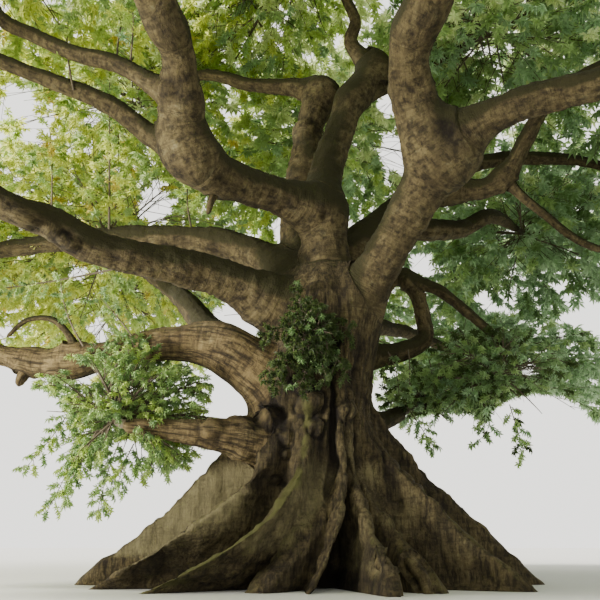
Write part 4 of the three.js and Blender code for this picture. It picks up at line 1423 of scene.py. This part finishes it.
SPRIGS: tuple[Sprig, ...] = (
    Sprig("crown_inner_left", (-4.79, 1.10, 7.70), (-5.15, 1.10, 11.90), 0.035, 0.45),
    Sprig("crown_inner_left", (-2.75, 0.95, 7.45), (-2.95, 0.90, 8.95), 0.028, 0.35),
    Sprig("crown_inner_left", (-6.10, 0.85, 7.80), (-6.40, 0.80, 10.30), 0.028, 0.35),
    Sprig("low_left_sprays", (-4.60, -0.50, 4.45), (-5.20, -0.50, 5.80), 0.026, 0.4),
    Sprig("low_left_sprays", (-3.60, -0.70, 4.60), (-4.30, -0.75, 5.40), 0.020, 0.3),
    Sprig("crown_left", (-3.45, -3.10, 9.15), (-3.50, -3.05, 10.40), 0.026, 0.3),
    Sprig("crown_left", (-3.75, -2.90, 9.20), (-3.65, -2.75, 11.30), 0.026, 0.4),
    Sprig("crown_left", (-4.60, -2.70, 8.90), (-4.90, -2.60, 10.50), 0.026, 0.3),
    Sprig("low_left_sprays", (-4.10, -0.30, 6.20), (-6.70, -0.60, 5.60), 0.030, 0.5),
    Sprig("low_left_sprays", (-4.50, -0.40, 2.80), (-4.95, -0.45, 1.35), 0.014, 0.0),
    Sprig("low_left_sprays", (-4.10, -0.80, 2.70), (-4.50, -0.95, 1.50), 0.014, 0.0),
    Sprig("low_left_sprays", (-3.80, -0.20, 2.60), (-4.10, -0.20, 1.30), 0.014, 0.0),
    Sprig("low_left_sprays", (-3.40, -0.70, 2.50), (-3.60, -0.85, 1.70), 0.014, 0.0),
    Sprig("low_left_sprays", (-4.80, -0.30, 3.20), (-5.50, -0.35, 2.10), 0.014, 0.0),
    Sprig("low_right_sprays", (4.30, 1.20, 3.60), (4.50, 1.15, 2.60), 0.014, 0.0),
    Sprig("low_right_sprays", (3.70, 1.10, 3.60), (3.60, 1.00, 2.85), 0.014, 0.0),
    Sprig("low_right_sprays", (2.60, 1.20, 4.60), (2.75, 1.10, 3.40), 0.016, 0.1),
    Sprig("low_right_sprays", (2.10, 0.90, 4.75), (2.00, 0.75, 3.70), 0.016, 0.1),
    Sprig("low_right_sprays", (1.60, 0.50, 4.60), (1.75, 0.20, 3.60), 0.016, 0.1),
    Sprig("stub_sprays", (2.10, 1.50, 3.60), (2.60, 1.30, 2.70), 0.016, 0.1),
    Sprig("trunk_shoots", (-0.30, -1.05, 4.50), (-0.86, -1.55, 3.72), 0.014, 0.15),
    Sprig("trunk_shoots", (-0.25, -1.05, 4.40), (-0.72, -1.75, 3.42), 0.014, 0.15),
    Sprig("trunk_shoots", (-0.10, -1.10, 4.40), (-0.30, -1.80, 3.35), 0.014, 0.15),
    Sprig("trunk_shoots", (0.05, -1.10, 4.50), (0.22, -1.70, 3.52), 0.014, 0.15),
    Sprig("trunk_shoots", (0.10, -1.05, 4.60), (0.58, -1.60, 3.70), 0.014, 0.15),
    Sprig("trunk_shoots", (-0.35, -1.05, 4.80), (-0.95, -1.50, 4.35), 0.014, 0.15),
    Sprig("trunk_shoots", (0.10, -1.05, 4.90), (0.68, -1.45, 4.50), 0.014, 0.15),
    Sprig("trunk_shoots", (-0.20, -1.05, 4.90), (-0.35, -1.35, 5.45), 0.014, 0.15),
)

EYE = np.array([-0.28, -14.0, 0.75])
TILT = 19.1
AHEAD, OVER = heading_of(90, TILT), heading_of(270, 90 - TILT)
CLEARING_EDGE = 0.009
# Openings to the sky as seen from the eye: slope to the right and up, half width, half height
CLEARINGS = np.array([
    (-0.405, 0.285, 0.021, 0.018),
    (-0.376, 0.243, 0.022, 0.020),
    (-0.300, 0.262, 0.008, 0.008),
    (-0.206, 0.137, 0.020, 0.026),
    (-0.090, -0.030, 0.037, 0.019),
    (0.137, 0.206, 0.017, 0.029),
    (0.130, 0.284, 0.016, 0.010),
    (-0.287, -0.044, 0.011, 0.011),
    (0.170, 0.050, 0.011, 0.009),
    (0.021, 0.184, 0.009, 0.009),
    (-0.030, 0.099, 0.009, 0.009),
    (-0.321, 0.039, 0.009, 0.007),
    (-0.421, -0.047, 0.011, 0.009),
    (0.424, -0.030, 0.007, 0.007),
    (0.330, -0.099, 0.009, 0.009),
    (0.261, -0.004, 0.009, 0.009),
    (-0.309, -0.104, 0.017, 0.007),
    (0.206, -0.201, 0.057, 0.034),
    (0.343, -0.186, 0.074, 0.046),
    (-0.386, -0.197, 0.049, 0.064),
    (-0.093, -0.143, 0.026, 0.029),
    (-0.247, -0.221, 0.020, 0.014),
])


def in_clearing(place: Array) -> bool:
    """Whether a spray at this place would close one of the openings to the sky."""
    offset = place - EYE
    depth = max(float(offset @ AHEAD), 0.1)
    right, up = float(offset[0]) / depth, float(offset @ OVER) / depth
    wide = (right - CLEARINGS[:, 0]) / (CLEARINGS[:, 2] + CLEARING_EDGE)
    tall = (up - CLEARINGS[:, 1]) / (CLEARINGS[:, 3] + CLEARING_EDGE)
    return bool(np.any(wide**2 + tall**2 < 1))


# Even steps over a sphere, along a line and round a twig, that never fall into a pattern
SPHERE_STEPS = (0.7548776662, 0.569840291)
INDEX_STEP = 0.37
LINE_STEP = 0.618
SPIN = 2.4
SIGHT = 0.1
SHOOT_FOOT = np.array([-0.13, -0.9, 4.15])
SHOOT_HEADING = (270.0, 20.0)
SHOOT_RADIUS = 0.045
BOX_MARGIN = 0.3
BOX_LOW = np.array(CAD_BOX[0]) - BOX_MARGIN
BOX_HIGH = np.array(CAD_BOX[1]) + BOX_MARGIN
PIECE_LIMIT = 185_000


@dataclass
class Growth:
    """Twigs and leaves as they are grown: each twig's points and radii, and each leaf's place and turn."""

    twig_points: list[Array] = field(default_factory=list)
    twig_girths: list[Array] = field(default_factory=list)
    leaf_places: list[Array] = field(default_factory=list)
    leaf_turns: list[Array] = field(default_factory=list)
    leaf_sizes: list[float] = field(default_factory=list)
    leaf_tints: list[Tint] = field(default_factory=list)

    def add_twig(self, points: Array, thick: float, thin: float) -> None:
        """Keeps one twig that tapers evenly."""
        self.twig_points.append(points)
        self.twig_girths.append(np.linspace(thick, thin, len(points)))


class Room:
    """Keeps the sprays of a mass evenly apart."""

    def __init__(self, spacing: float) -> None:
        """Starts with no spray placed."""
        self.spacing = spacing
        self.taken: dict[tuple[int, int, int], list[Array]] = {}

    def take(self, place: Array) -> bool:
        """Takes a place unless another spray is too near it."""
        cell = tuple(int(part) for part in np.floor(place / self.spacing))
        for shift in product((-1, 0, 1), repeat=3):
            near = self.taken.get((cell[0] + shift[0], cell[1] + shift[1], cell[2] + shift[2]), ())
            for other in near:
                if float(np.sum((other - place) ** 2)) < self.spacing**2:
                    return False
        self.taken.setdefault(cell, []).append(place)
        return True


@dataclass
class Plot:
    """What one mass grows in: its walls, its own random numbers and the places that its sprays have taken."""

    mass: Mass
    chance: np.random.Generator
    room: Room
    directions: Array
    limits: Array
    swell: float = 1.2
    centre: Array = field(init=False)
    size: Array = field(init=False)

    def __post_init__(self) -> None:
        """Reads the mass's centre and half sizes."""
        self.centre, self.size = np.array(self.mass.at), np.array(self.mass.reach)

    def holds(self, point: Array) -> bool:
        """Whether a point lies in the mass's own space."""
        offset = point - self.centre
        if np.sum((offset / self.size) ** 2) > self.swell:
            return False
        if np.any(point < BOX_LOW) or np.any(point > BOX_HIGH):
            return False
        return bool(np.all(self.directions @ offset < self.limits))


@dataclass
class Crown:
    """All foliage: a stem from each limb, twigs that branch by one rule at three sizes, and leaf sprays."""

    wood: Wood
    seed: int = 23
    twigs: int = 20
    side_twigs: int = 15
    shoots: int = 8
    leaves: int = 7
    spacing: float = 0.43
    stem_share: float = 0.8
    stem_taper: float = 0.35
    stem_sink: float = 0.06
    stem_bend: float = 0.45
    stem_marks: int = 13
    twig_share: float = 0.42
    twig_start: float = 0.45
    twig_span: float = 0.5
    twig_edge: float = 0.97
    twig_reach: float = 0.94
    twig_lift: float = 0.06
    twig_taper: float = 0.3
    twig_marks: int = 9
    fewest_marks: int = 3
    side_fullest: float = 1.6
    side_start: float = 0.1
    side_reach: float = 0.44
    side_least: float = 0.35
    side_shrinks: tuple[float, ...] = (1.0, 0.84, 0.68, 0.52, 0.38, 0.25)
    side_thick: float = 0.012
    sag: float = 0.1
    shoot_gap: float = 1.6
    shoot_turn: float = 40.0
    shoot_turn_span: float = 25.0
    shoot_least: float = 0.34
    shoot_span: float = 0.32
    shoot_thick: float = 0.006
    shoot_thin: float = 0.003
    shoot_sag: float = 0.15
    spray_turn: float = 58.0
    space_gap: float = 0.02
    sprig_grain: float = 0.6
    sprig_gap: float = 0.16
    sprig_span: float = 0.4
    sprig_marks: int = 8
    sprig_shoot_thick: float = 0.007
    growth: Growth = field(default_factory=Growth)

    def walls(self, mass: Mass) -> tuple[Array, Array]:
        """The planes that part a mass from its neighbours: their directions and distances from its centre."""
        own = (mass.reach[0] + mass.reach[1]) / 2
        directions, limits = [np.zeros(3)], [1.0]
        for other in () if mass in INNER_MASSES else MASSES:
            if other is mass:
                continue
            away = np.array(other.at) - np.array(mass.at)
            distance = float(np.linalg.norm(away))
            theirs = (other.reach[0] + other.reach[1]) / 2
            directions.append(away / distance)
            limits.append((distance**2 + own**2 - theirs**2) / (2 * distance) - self.space_gap / 2)
        return np.array(directions), np.array(limits)

    def grow_mass(self, mass: Mass, index: int) -> None:
        """Grows the stem, twigs and leaves of one mass.

        Args:
            mass: The space and its limb.
            index: Its place in the list, which seeds its twigs.
        """
        room = Room(self.spacing * mass.grain / mass.fullness ** (1 / 3))
        plot = Plot(mass, np.random.default_rng(self.seed + index), room, *self.walls(mass))
        if mass.limb:
            limb = self.wood.limbs[mass.limb]
            leaving, thick = limb.heading[-1], limb.plan.girth[1] * self.stem_share
            foot = limb.marks[-1] - leaving * (self.stem_sink + limb.plan.girth[1])
        else:
            leaving, foot, thick = heading_of(*SHOOT_HEADING), SHOOT_FOOT, SHOOT_RADIUS
        bend = foot + leaving * np.linalg.norm(plot.centre - foot) * self.stem_bend
        stem = bezier(foot, bend, plot.centre, np.linspace(0, 1, self.stem_marks))
        self.growth.add_twig(stem, thick, thick * (1 - self.stem_taper))
        thick *= self.twig_share
        for i in range(self.twigs):
            height = 1 - 2 * math.modf(0.5 + i * SPHERE_STEPS[0])[0]
            turn = 2 * math.pi * math.modf(index * INDEX_STEP + i * SPHERE_STEPS[1])[0]
            ring = math.sqrt(1 - height * height)
            outward = np.array([math.cos(turn) * ring, math.sin(turn) * ring, height])
            edge = plot.centre + outward * plot.size * self.twig_edge
            share = self.twig_start + self.twig_span * math.modf(i * LINE_STEP)[0]
            start = bezier(foot, bend, plot.centre, [share])[0]
            end = start + (edge - start) * self.twig_reach
            lift = (start + end) / 2 + UP * float(np.linalg.norm(edge - start)) * self.twig_lift
            twig = bezier(start, lift, end, np.linspace(0, 1, self.twig_marks))
            kept = max([k for k, point in enumerate(twig) if plot.holds(point)], default=0)
            if kept >= self.fewest_marks:
                self.growth.add_twig(twig[: kept + 1], thick, thick * self.twig_taper)
                self.grow_side_twigs(plot, twig[: kept + 1], thick)

    def grow_side_twigs(self, plot: Plot, twig: Array, thick: float) -> None:
        """Grows side twigs along a twig, and the shoots along those.

        Args:
            plot: What the mass grows in.
            twig: Points along the twig that carries them.
            thick: Radius of that twig.
        """
        mass, chance = plot.mass, plot.chance
        travel = walked(twig)
        total = travel[-1]
        fullness = min(mass.fullness, self.side_fullest)
        count = max(2, round(self.side_twigs * fullness * total / (0.9 * np.mean(mass.reach))))
        longest = self.side_reach * float(np.mean(mass.reach[:2]))
        for k in range(count + 1):
            past = (1 - self.side_start) * (k + chance.random() * 0.5) / (count + 0.5)
            share = min(self.side_start + past, 1.0)
            at = share * total
            start = place_on(twig, travel, at)
            behind, ahead = at - SIGHT, min(at + SIGHT, total)
            heading = unit(place_on(twig, travel, ahead) - place_on(twig, travel, behind))
            axis = unit(UP + jitter(chance, 1.1))
            side = 0 if k == count else 1 if k % 2 else -1
            angle = side and side * math.radians(self.spray_turn * (0.7 + 0.5 * chance.random()))
            outward = unit(turned(heading, axis, angle) + jitter(chance, 0.35))
            length = max(longest * (1.1 - 0.3 * share) * (0.75 + 0.5 * chance.random()), self.side_least)
            for shrink in self.side_shrinks:
                end = start + outward * length * shrink - UP * length * shrink * self.sag
                if plot.holds(end):
                    break
            else:
                continue
            bend = start + outward * (length * shrink) * 0.5
            if in_clearing(bend) and in_clearing(end):
                continue
            twiglet = bezier(start, bend, end, np.linspace(0, 1, 3))
            side_thick = max(self.side_thick, thick * 0.45 * (1 - 0.5 * share))
            if self.grow_shoots(plot, twiglet, side_thick):
                self.growth.add_twig(twiglet, side_thick, max(0.007, side_thick * 0.4))

    def grow_shoots(self, plot: Plot, twiglet: Array, thick: float) -> int:
        """Grows the last shoots along a side twig, each with its spray of leaves.

        Args:
            plot: What the mass grows in.
            twiglet: Points along the side twig that carries them.
            thick: Radius of that twig.

        Returns:
            How many shoots found room.
        """
        chance, grain = plot.chance, plot.mass.grain
        ahead = twiglet[-1] - twiglet[0]
        count = max(2, round(self.shoots * float(np.linalg.norm(ahead)) / (self.shoot_gap * grain)))
        marks = np.arange(len(twiglet))
        grown = 0
        for k in range(count):
            start = place_on(twiglet, marks, (0.3 + 0.7 * (k + 1) / count) * marks[-1])
            axis = unit(UP + jitter(chance, 1.4))
            if k == count - 1:
                angle = (chance.random() - 0.5) * 0.5
            else:
                angle = math.radians(self.shoot_turn + self.shoot_turn_span * chance.random())
                angle = angle if k % 2 else -angle
            outward = unit(turned(unit(ahead), axis, angle) + jitter(chance, 0.4))
            reach = (self.shoot_least + self.shoot_span * chance.random()) * grain
            end = start + outward * reach - UP * reach * self.shoot_sag
            if not plot.holds(end) or in_clearing(end) or not plot.room.take(end):
                continue
            grown += 1
            shoot = np.array([start, end])
            self.growth.add_twig(shoot, max(self.shoot_thick, thick * 0.45), self.shoot_thin)
            self.grow_spray(plot.mass, shoot, outward, chance)
        return grown

    def grow_sprig(self, sprig: Sprig, index: int) -> None:
        """Grows one thin branch with short shoots and their sprays along it."""
        chance = np.random.default_rng(self.seed * 7 + index)
        mass = next(own for own in MASSES if own.name == sprig.mass)
        foot, tip = np.array(sprig.foot), np.array(sprig.tip)
        length = float(np.linalg.norm(tip - foot))
        bend = (foot + tip) / 2 + (chance.random(3) - 0.5) * length * 0.25
        line = bezier(foot, bend, tip, np.linspace(0, 1, self.sprig_marks))
        self.growth.add_twig(line, sprig.radius, max(self.shoot_thick, sprig.radius * 0.4))
        heading = unit(tip - foot)
        across = unit(np.cross(heading, np.array([0.3, 1.0, 0.2])))
        small = replace(mass, grain=min(mass.grain, self.sprig_grain))
        count = max(3, round(length * (1 - sprig.bare) / (self.sprig_gap * small.grain)))
        for k in range(count):
            share = sprig.bare + (1 - sprig.bare) * (k + 0.5 + 0.5 * chance.random()) / count
            start = bezier(foot, bend, tip, [min(share, 1.0)])[0]
            side = turned(across, heading, k * SPIN + chance.random())
            outward = unit(side + heading * 0.7 + jitter(chance, 0.3))
            reach = (self.shoot_least + self.sprig_span * chance.random()) * small.grain
            shoot = np.array([start, start + outward * reach - UP * reach * self.shoot_sag])
            self.growth.add_twig(shoot, self.sprig_shoot_thick, self.shoot_thin)
            self.grow_spray(small, shoot, outward, chance)

    def grow_spray(self, mass: Mass, shoot: Array, outward: Array, chance: np.random.Generator) -> None:
        """Sets the leaves of one spray round its shoot, all in one tint."""
        growth, last = self.growth, self.leaves - 1
        tint = self.tint_at(mass, shoot[-1], chance)
        for k in range(self.leaves):
            spin = k * SPIN + chance.random() * 0.8
            angle = (1 if k % 2 else -1) * (0.5 + 0.9 * chance.random()) * (k < last)
            sway = np.array([math.cos(spin), math.sin(spin), 0.4 * math.sin(spin * 1.7) - 0.1])
            forward = unit(turned(outward, UP, angle) + sway * 0.55 - UP * mass.hang)
            across = unit(np.cross(unit(UP + jitter(chance, 2.0)), forward))
            growth.leaf_places.append(shoot[0] + (shoot[-1] - shoot[0]) * (0.35 + 0.65 * k / last))
            growth.leaf_turns.append(np.stack([forward, across, np.cross(forward, across)], axis=1))
            growth.leaf_sizes.append(mass.grain * (0.85 + 0.35 * chance.random()))
            growth.leaf_tints.append(tint)

    def tint_at(self, mass: Mass, place: Array, chance: np.random.Generator) -> Tint:
        """Deals out a tint: yellower to the left, with GOLD in part painted sunlight; bluer to the right; the
        pale HIGH tint on top as painted light; and the dark SHADE tint by the trunk and under the crown as
        painted shade.
        """
        # Painted shade: the dark SHADE tint, nearly always on the shoots by the trunk, and now and then on
        # the low sprays under the crown.
        if mass.name == "trunk_shoots":
            return Tint.SHADE if chance.random() < 0.92 else Tint.DEEP
        if mass.name == "low_left_sprays":
            return chance.choice([Tint.FRESH, Tint.MID, Tint.MID, Tint.DEEP])
        if mass.name in ("low_right_sprays", "stub_sprays"):
            return chance.choice([Tint.BLUE, Tint.MID, Tint.DEEP, Tint.DEEP, Tint.SHADE])
        side = place[0] / 13 + (chance.random() - 0.5) * 1.1
        high = (place[2] - 11.5) / 9 + (chance.random() - 0.5) * 0.7
        # In part painted sunlight: the GOLD tint on the left.
        if side < -0.55:
            return Tint.AMBER if chance.random() < 0.10 else Tint.GOLD
        if side < -0.15 - 0.25 * max(high, 0):
            return Tint.FRESH
        # Painted light: the pale HIGH tint on the crown's top.
        if high > 0.25:
            return Tint.HIGH if side < 0.45 and chance.random() < 0.85 else Tint.MID
        if side < 0.2:
            return Tint.MID
        return Tint.DEEP if chance.random() < 0.3 else Tint.BLUE

    def build(self) -> None:
        """Grows every mass and makes its twigs and leaves."""
        for index, mass in enumerate(MASSES + INNER_MASSES):
            self.grow_mass(mass, index)
        for index, sprig in enumerate(SPRIGS):
            self.grow_sprig(sprig, index)
        log.info("twigs %d, leaves %d", len(self.growth.twig_points), len(self.growth.leaf_places))
        self.build_twigs()
        self.build_leaves()

    def build_twigs(self) -> None:
        """Makes the stems and twigs as three-sided tubes along their lines."""
        growth = self.growth
        finish = PlainFinish("twig bark", (0.12, 0.095, 0.06, 1), 0.4, 6.0).material()
        tree = twig_nodes(finish)
        faces = np.array([2 * TWIG_SIDES * (len(points) - 1) + 2 for points in growth.twig_points])
        part = (np.cumsum(faces) // PIECE_LIMIT).astype(int)
        for number in range(part.max() + 1):
            chosen = np.flatnonzero(part == number)
            lines = [growth.twig_points[i] for i in chosen]
            edges, first = [], 0
            for line in lines:
                edges += [(first + k, first + k + 1) for k in range(len(line) - 1)]
                first += len(line)
            name = f"twigs_{number + 1}"
            mesh = bpy.data.meshes.new(name + "_lines")
            mesh.from_pydata(np.vstack(lines).tolist(), edges, [])
            set_attribute(mesh, "girth", np.concatenate([growth.twig_girths[i] for i in chosen]))
            dress(finished(name, mesh, tree, {"Sides": TWIG_SIDES}), finish, MASS_NAMES)

    def build_leaves(self) -> None:
        """Makes the leaves of each tint as its own pieces."""
        growth = self.growth
        places, turns = np.array(growth.leaf_places), euler_of(np.array(growth.leaf_turns))
        sizes = np.array(growth.leaf_sizes)
        for number, tint in enumerate(Tint):
            chosen = np.array([i for i, own in enumerate(growth.leaf_tints) if own is tint], int)
            leaf = Leaf(droop=0.5 + 0.06 * (number % 6))
            finish = LEAF_FINISHES[tint].material()
            tree = leaf_nodes(finish)
            model = leaf.model(f"leaf_{tint.value}_model")
            per_piece = PIECE_LIMIT // leaf.triangles
            for part, first in enumerate(range(0, len(chosen), per_piece)):
                rows = chosen[first : first + per_piece]
                name = f"leaves_{tint.value}_{part + 1}"
                mesh = bpy.data.meshes.new(name + "_points")
                mesh.from_pydata(places[rows].tolist(), [], [])
                set_attribute(mesh, "turn", turns[rows])
                set_attribute(mesh, "size", sizes[rows])
                piece = finished(name, mesh, tree, {"Leaf": model, "Size": 1.0})
                dress(piece, finish, MASS_NAMES)
            bpy.data.objects.remove(model)


@dataclass(frozen=True)
class Leaf:
    """A palmate leaf: leaflets spread like a hand's fingers from their shoot."""

    leaflets: int = 5
    length: float = 0.2
    width: float = 0.075
    fan: float = 118.0
    belly: float = 0.48
    fold: float = 0.12
    droop: float = 0.5

    @property
    def triangles(self) -> int:
        """How many triangles one leaf has."""
        return self.leaflets * 2

    def model(self, name: str) -> Object:
        """Makes the leaf once, middle leaflet along +X and face up."""
        points: list[Sequence[float]] = []
        faces: list[tuple[int, int, int]] = []
        for k in range(self.leaflets):
            share = 2 * k / (self.leaflets - 1) - 1
            turn = math.radians(self.fan) * share
            length = self.length * (1 - 0.32 * share * share)
            ahead = np.array([math.cos(turn), math.sin(turn), 0])
            aside = np.array([-math.sin(turn), math.cos(turn), 0]) * self.width / 2
            middle = ahead * length * self.belly
            middle = middle - UP * length * self.droop * 0.25 + UP * self.width * self.fold
            first = len(points)
            points += [np.zeros(3), middle - aside, ahead * length - UP * length * self.droop, middle + aside]
            faces += [(first, first + 1, first + 2), (first, first + 2, first + 3)]
        return mesh_piece(name, np.array(points, float), faces, False)


def euler_of(turns: Array) -> Array:
    """The X, Y and Z angles of an array of turning matrices."""
    y = np.arcsin(np.clip(-turns[:, 2, 0], -1, 1))
    x = np.arctan2(turns[:, 2, 1], turns[:, 2, 2])
    z = np.arctan2(turns[:, 1, 0], turns[:, 0, 0])
    return np.stack([x, y, z], axis=1)


def new_geometry_tree(name: str, inputs: Mapping[str, str]) -> tuple[Graph, Node]:
    """An empty geometry tree with named inputs.

    Args:
        name: The tree's name.
        inputs: The socket type of each input after the geometry, by name.

    Returns:
        The graph and its input node.
    """
    tree = bpy.data.node_groups.new(name, "GeometryNodeTree")
    tree.interface.new_socket("Geometry", in_out="INPUT", socket_type="NodeSocketGeometry")
    for label, kind in inputs.items():
        tree.interface.new_socket(label, in_out="INPUT", socket_type=kind)
    tree.interface.new_socket("Geometry", in_out="OUTPUT", socket_type="NodeSocketGeometry")
    graph = Graph(tree)
    return graph, graph.add("NodeGroupInput")


def stored(graph: Graph, name: str, kind: str = "FLOAT") -> NodeSocket:
    """The values of one of the mesh's attributes in a geometry tree."""
    return graph.add("GeometryNodeInputNamedAttribute", {"data_type": kind}, {"Name": name}).outputs[0]


def dressed_tree(graph: Graph, shape: Node, finish: Material) -> NodeTree:
    """Ends a geometry tree in real meshes with their finish."""
    real = graph.add("GeometryNodeRealizeInstances", None, {0: shape.outputs[0]})
    dressed = graph.add("GeometryNodeSetMaterial", None, {0: real.outputs[0], "Material": finish})
    graph.close("NodeGroupOutput", dressed)
    return graph.tree


def twig_nodes(finish: Material) -> NodeTree:
    """The tree that turns lines with a girth into tubes."""
    graph, given = new_geometry_tree("twig tubes", {"Sides": "NodeSocketInt"})
    curve = graph.add("GeometryNodeMeshToCurve", None, {0: given.outputs["Geometry"]})
    sockets = {"Resolution": given.outputs["Sides"], "Radius": 1.0}
    ring = graph.add("GeometryNodeCurvePrimitiveCircle", None, sockets)
    sockets = {"Curve": curve.outputs[0], "Profile Curve": ring.outputs[0], "Fill Caps": True}
    tube = graph.add("GeometryNodeCurveToMesh", None, {**sockets, "Scale": stored(graph, "girth")})
    return dressed_tree(graph, tube, finish)


def leaf_nodes(finish: Material) -> NodeTree:
    """The tree that sets a leaf on each point, with the point's own turn and size."""
    graph, given = new_geometry_tree("leaf sprays", {"Leaf": "NodeSocketObject", "Size": "NodeSocketFloat"})
    leaf = graph.add("GeometryNodeObjectInfo", None, {"Object": given.outputs["Leaf"]})
    turn = graph.add("FunctionNodeEulerToRotation", None, {0: stored(graph, "turn", "FLOAT_VECTOR")})
    scale = Num(graph, stored(graph, "size")) * given.outputs["Size"]
    sockets = {"Points": given.outputs["Geometry"], "Instance": leaf.outputs["Geometry"]}
    sockets |= {"Rotation": turn.outputs[0], "Scale": scale}
    return dressed_tree(graph, graph.add("GeometryNodeInstanceOnPoints", None, sockets), finish)


def finished(name: str, source: Mesh, tree: NodeTree, values: Mapping[str, object]) -> Object:
    """Runs a geometry tree on a mesh and keeps the plain mesh that it gives.

    Args:
        name: The piece's name.
        source: The mesh that feeds the tree.
        tree: The geometry tree.
        values: The tree's inputs, by name.

    Returns:
        A new object at the origin with the finished mesh and no modifier.
    """
    piece = bpy.data.objects.new(name, source)
    modifier = piece.modifiers.new(name, "NODES")
    modifier.node_group = tree
    for item in tree.interface.items_tree:
        if item.in_out == "INPUT" and item.name in values:
            modifier[item.identifier] = values[item.name]
    bpy.context.scene.collection.objects.link(piece)
    bpy.context.view_layer.update()
    solved = piece.evaluated_get(bpy.context.evaluated_depsgraph_get())
    mesh = bpy.data.meshes.new_from_object(solved)
    mesh.name = name
    piece.modifiers.clear()
    piece.data = mesh
    bpy.data.meshes.remove(source)
    return piece


# Stage, lights and camera


@dataclass(frozen=True)
class Lamp:
    """A light: its kind, where it stands, what it faces, its power and its angle or size."""

    kind: str
    place: tuple[float, float, float]
    target: tuple[float, float, float]
    power: float
    size: float
    colour: tuple[float, float, float] = (1.0, 0.95, 0.86)
    spread: float = 80.0

    def build(self) -> None:
        """Puts the light in the scene."""
        light = bpy.data.lights.new(self.kind.lower(), self.kind)
        light.energy, light.color = self.power, self.colour
        if self.kind == "SUN":
            light.angle = self.size
        else:
            light.size = self.size
            light.spread = math.radians(self.spread)
        lamp = bpy.data.objects.new(self.kind.lower(), light)
        lamp.location = self.place
        lamp.rotation_euler = (Vector(self.target) - Vector(self.place)).to_track_quat("-Z", "Y").to_euler()
        lamp.visible_camera = False
        bpy.context.scene.collection.objects.link(lamp)


@dataclass
class Studio:
    """A plain pale floor, soft light and the camera at the photo's angle."""

    lens: float = 42.0
    floor_half: float = 90.0
    sky: Colour = (1.0, 0.985, 0.93, 1)
    sky_strength: float = 2.1
    sun: Lamp = Lamp("SUN", (-16, 2, 13), (0, 0, 5), 9.0, 0.1)
    fill: Lamp = Lamp("AREA", (-15, -9, 2.4), (0.0, 0, 7.5), 1500, 4.0)

    def build(self) -> None:
        """Makes the floor, the lights and the camera."""
        half = self.floor_half
        corners = np.array([(-half, -half, 0), (half, -half, 0), (half, half, 0), (-half, half, 0)], float)
        floor = mesh_piece("floor", corners, [(0, 1, 2, 3)], False)
        floor.data.materials.append(PlainFinish("floor", (0.60, 0.60, 0.57, 1), 0.05, 0.2).material())
        world = bpy.data.worlds.new("studio")
        bpy.context.scene.world = world
        world.use_nodes = True
        background = world.node_tree.nodes["Background"]
        background.inputs[0].default_value = self.sky
        background.inputs[1].default_value = self.sky_strength
        self.sun.build()
        self.fill.build()
        camera = bpy.data.cameras.new("camera")
        camera.lens, camera.sensor_width = self.lens, 36.0
        view = bpy.data.objects.new("camera", camera)
        view.location = EYE
        view.rotation_euler = (math.radians(90 + TILT), 0, 0)
        bpy.context.scene.collection.objects.link(view)
        bpy.context.scene.camera = view


def main() -> None:
    """Builds the tree and its studio."""
    wood = Wood()
    wood.build()
    Crown(wood).build()
    Studio().build()


if __name__ == "__main__":
    logging.basicConfig(level=logging.INFO, format="%(name)s %(message)s")
    main()
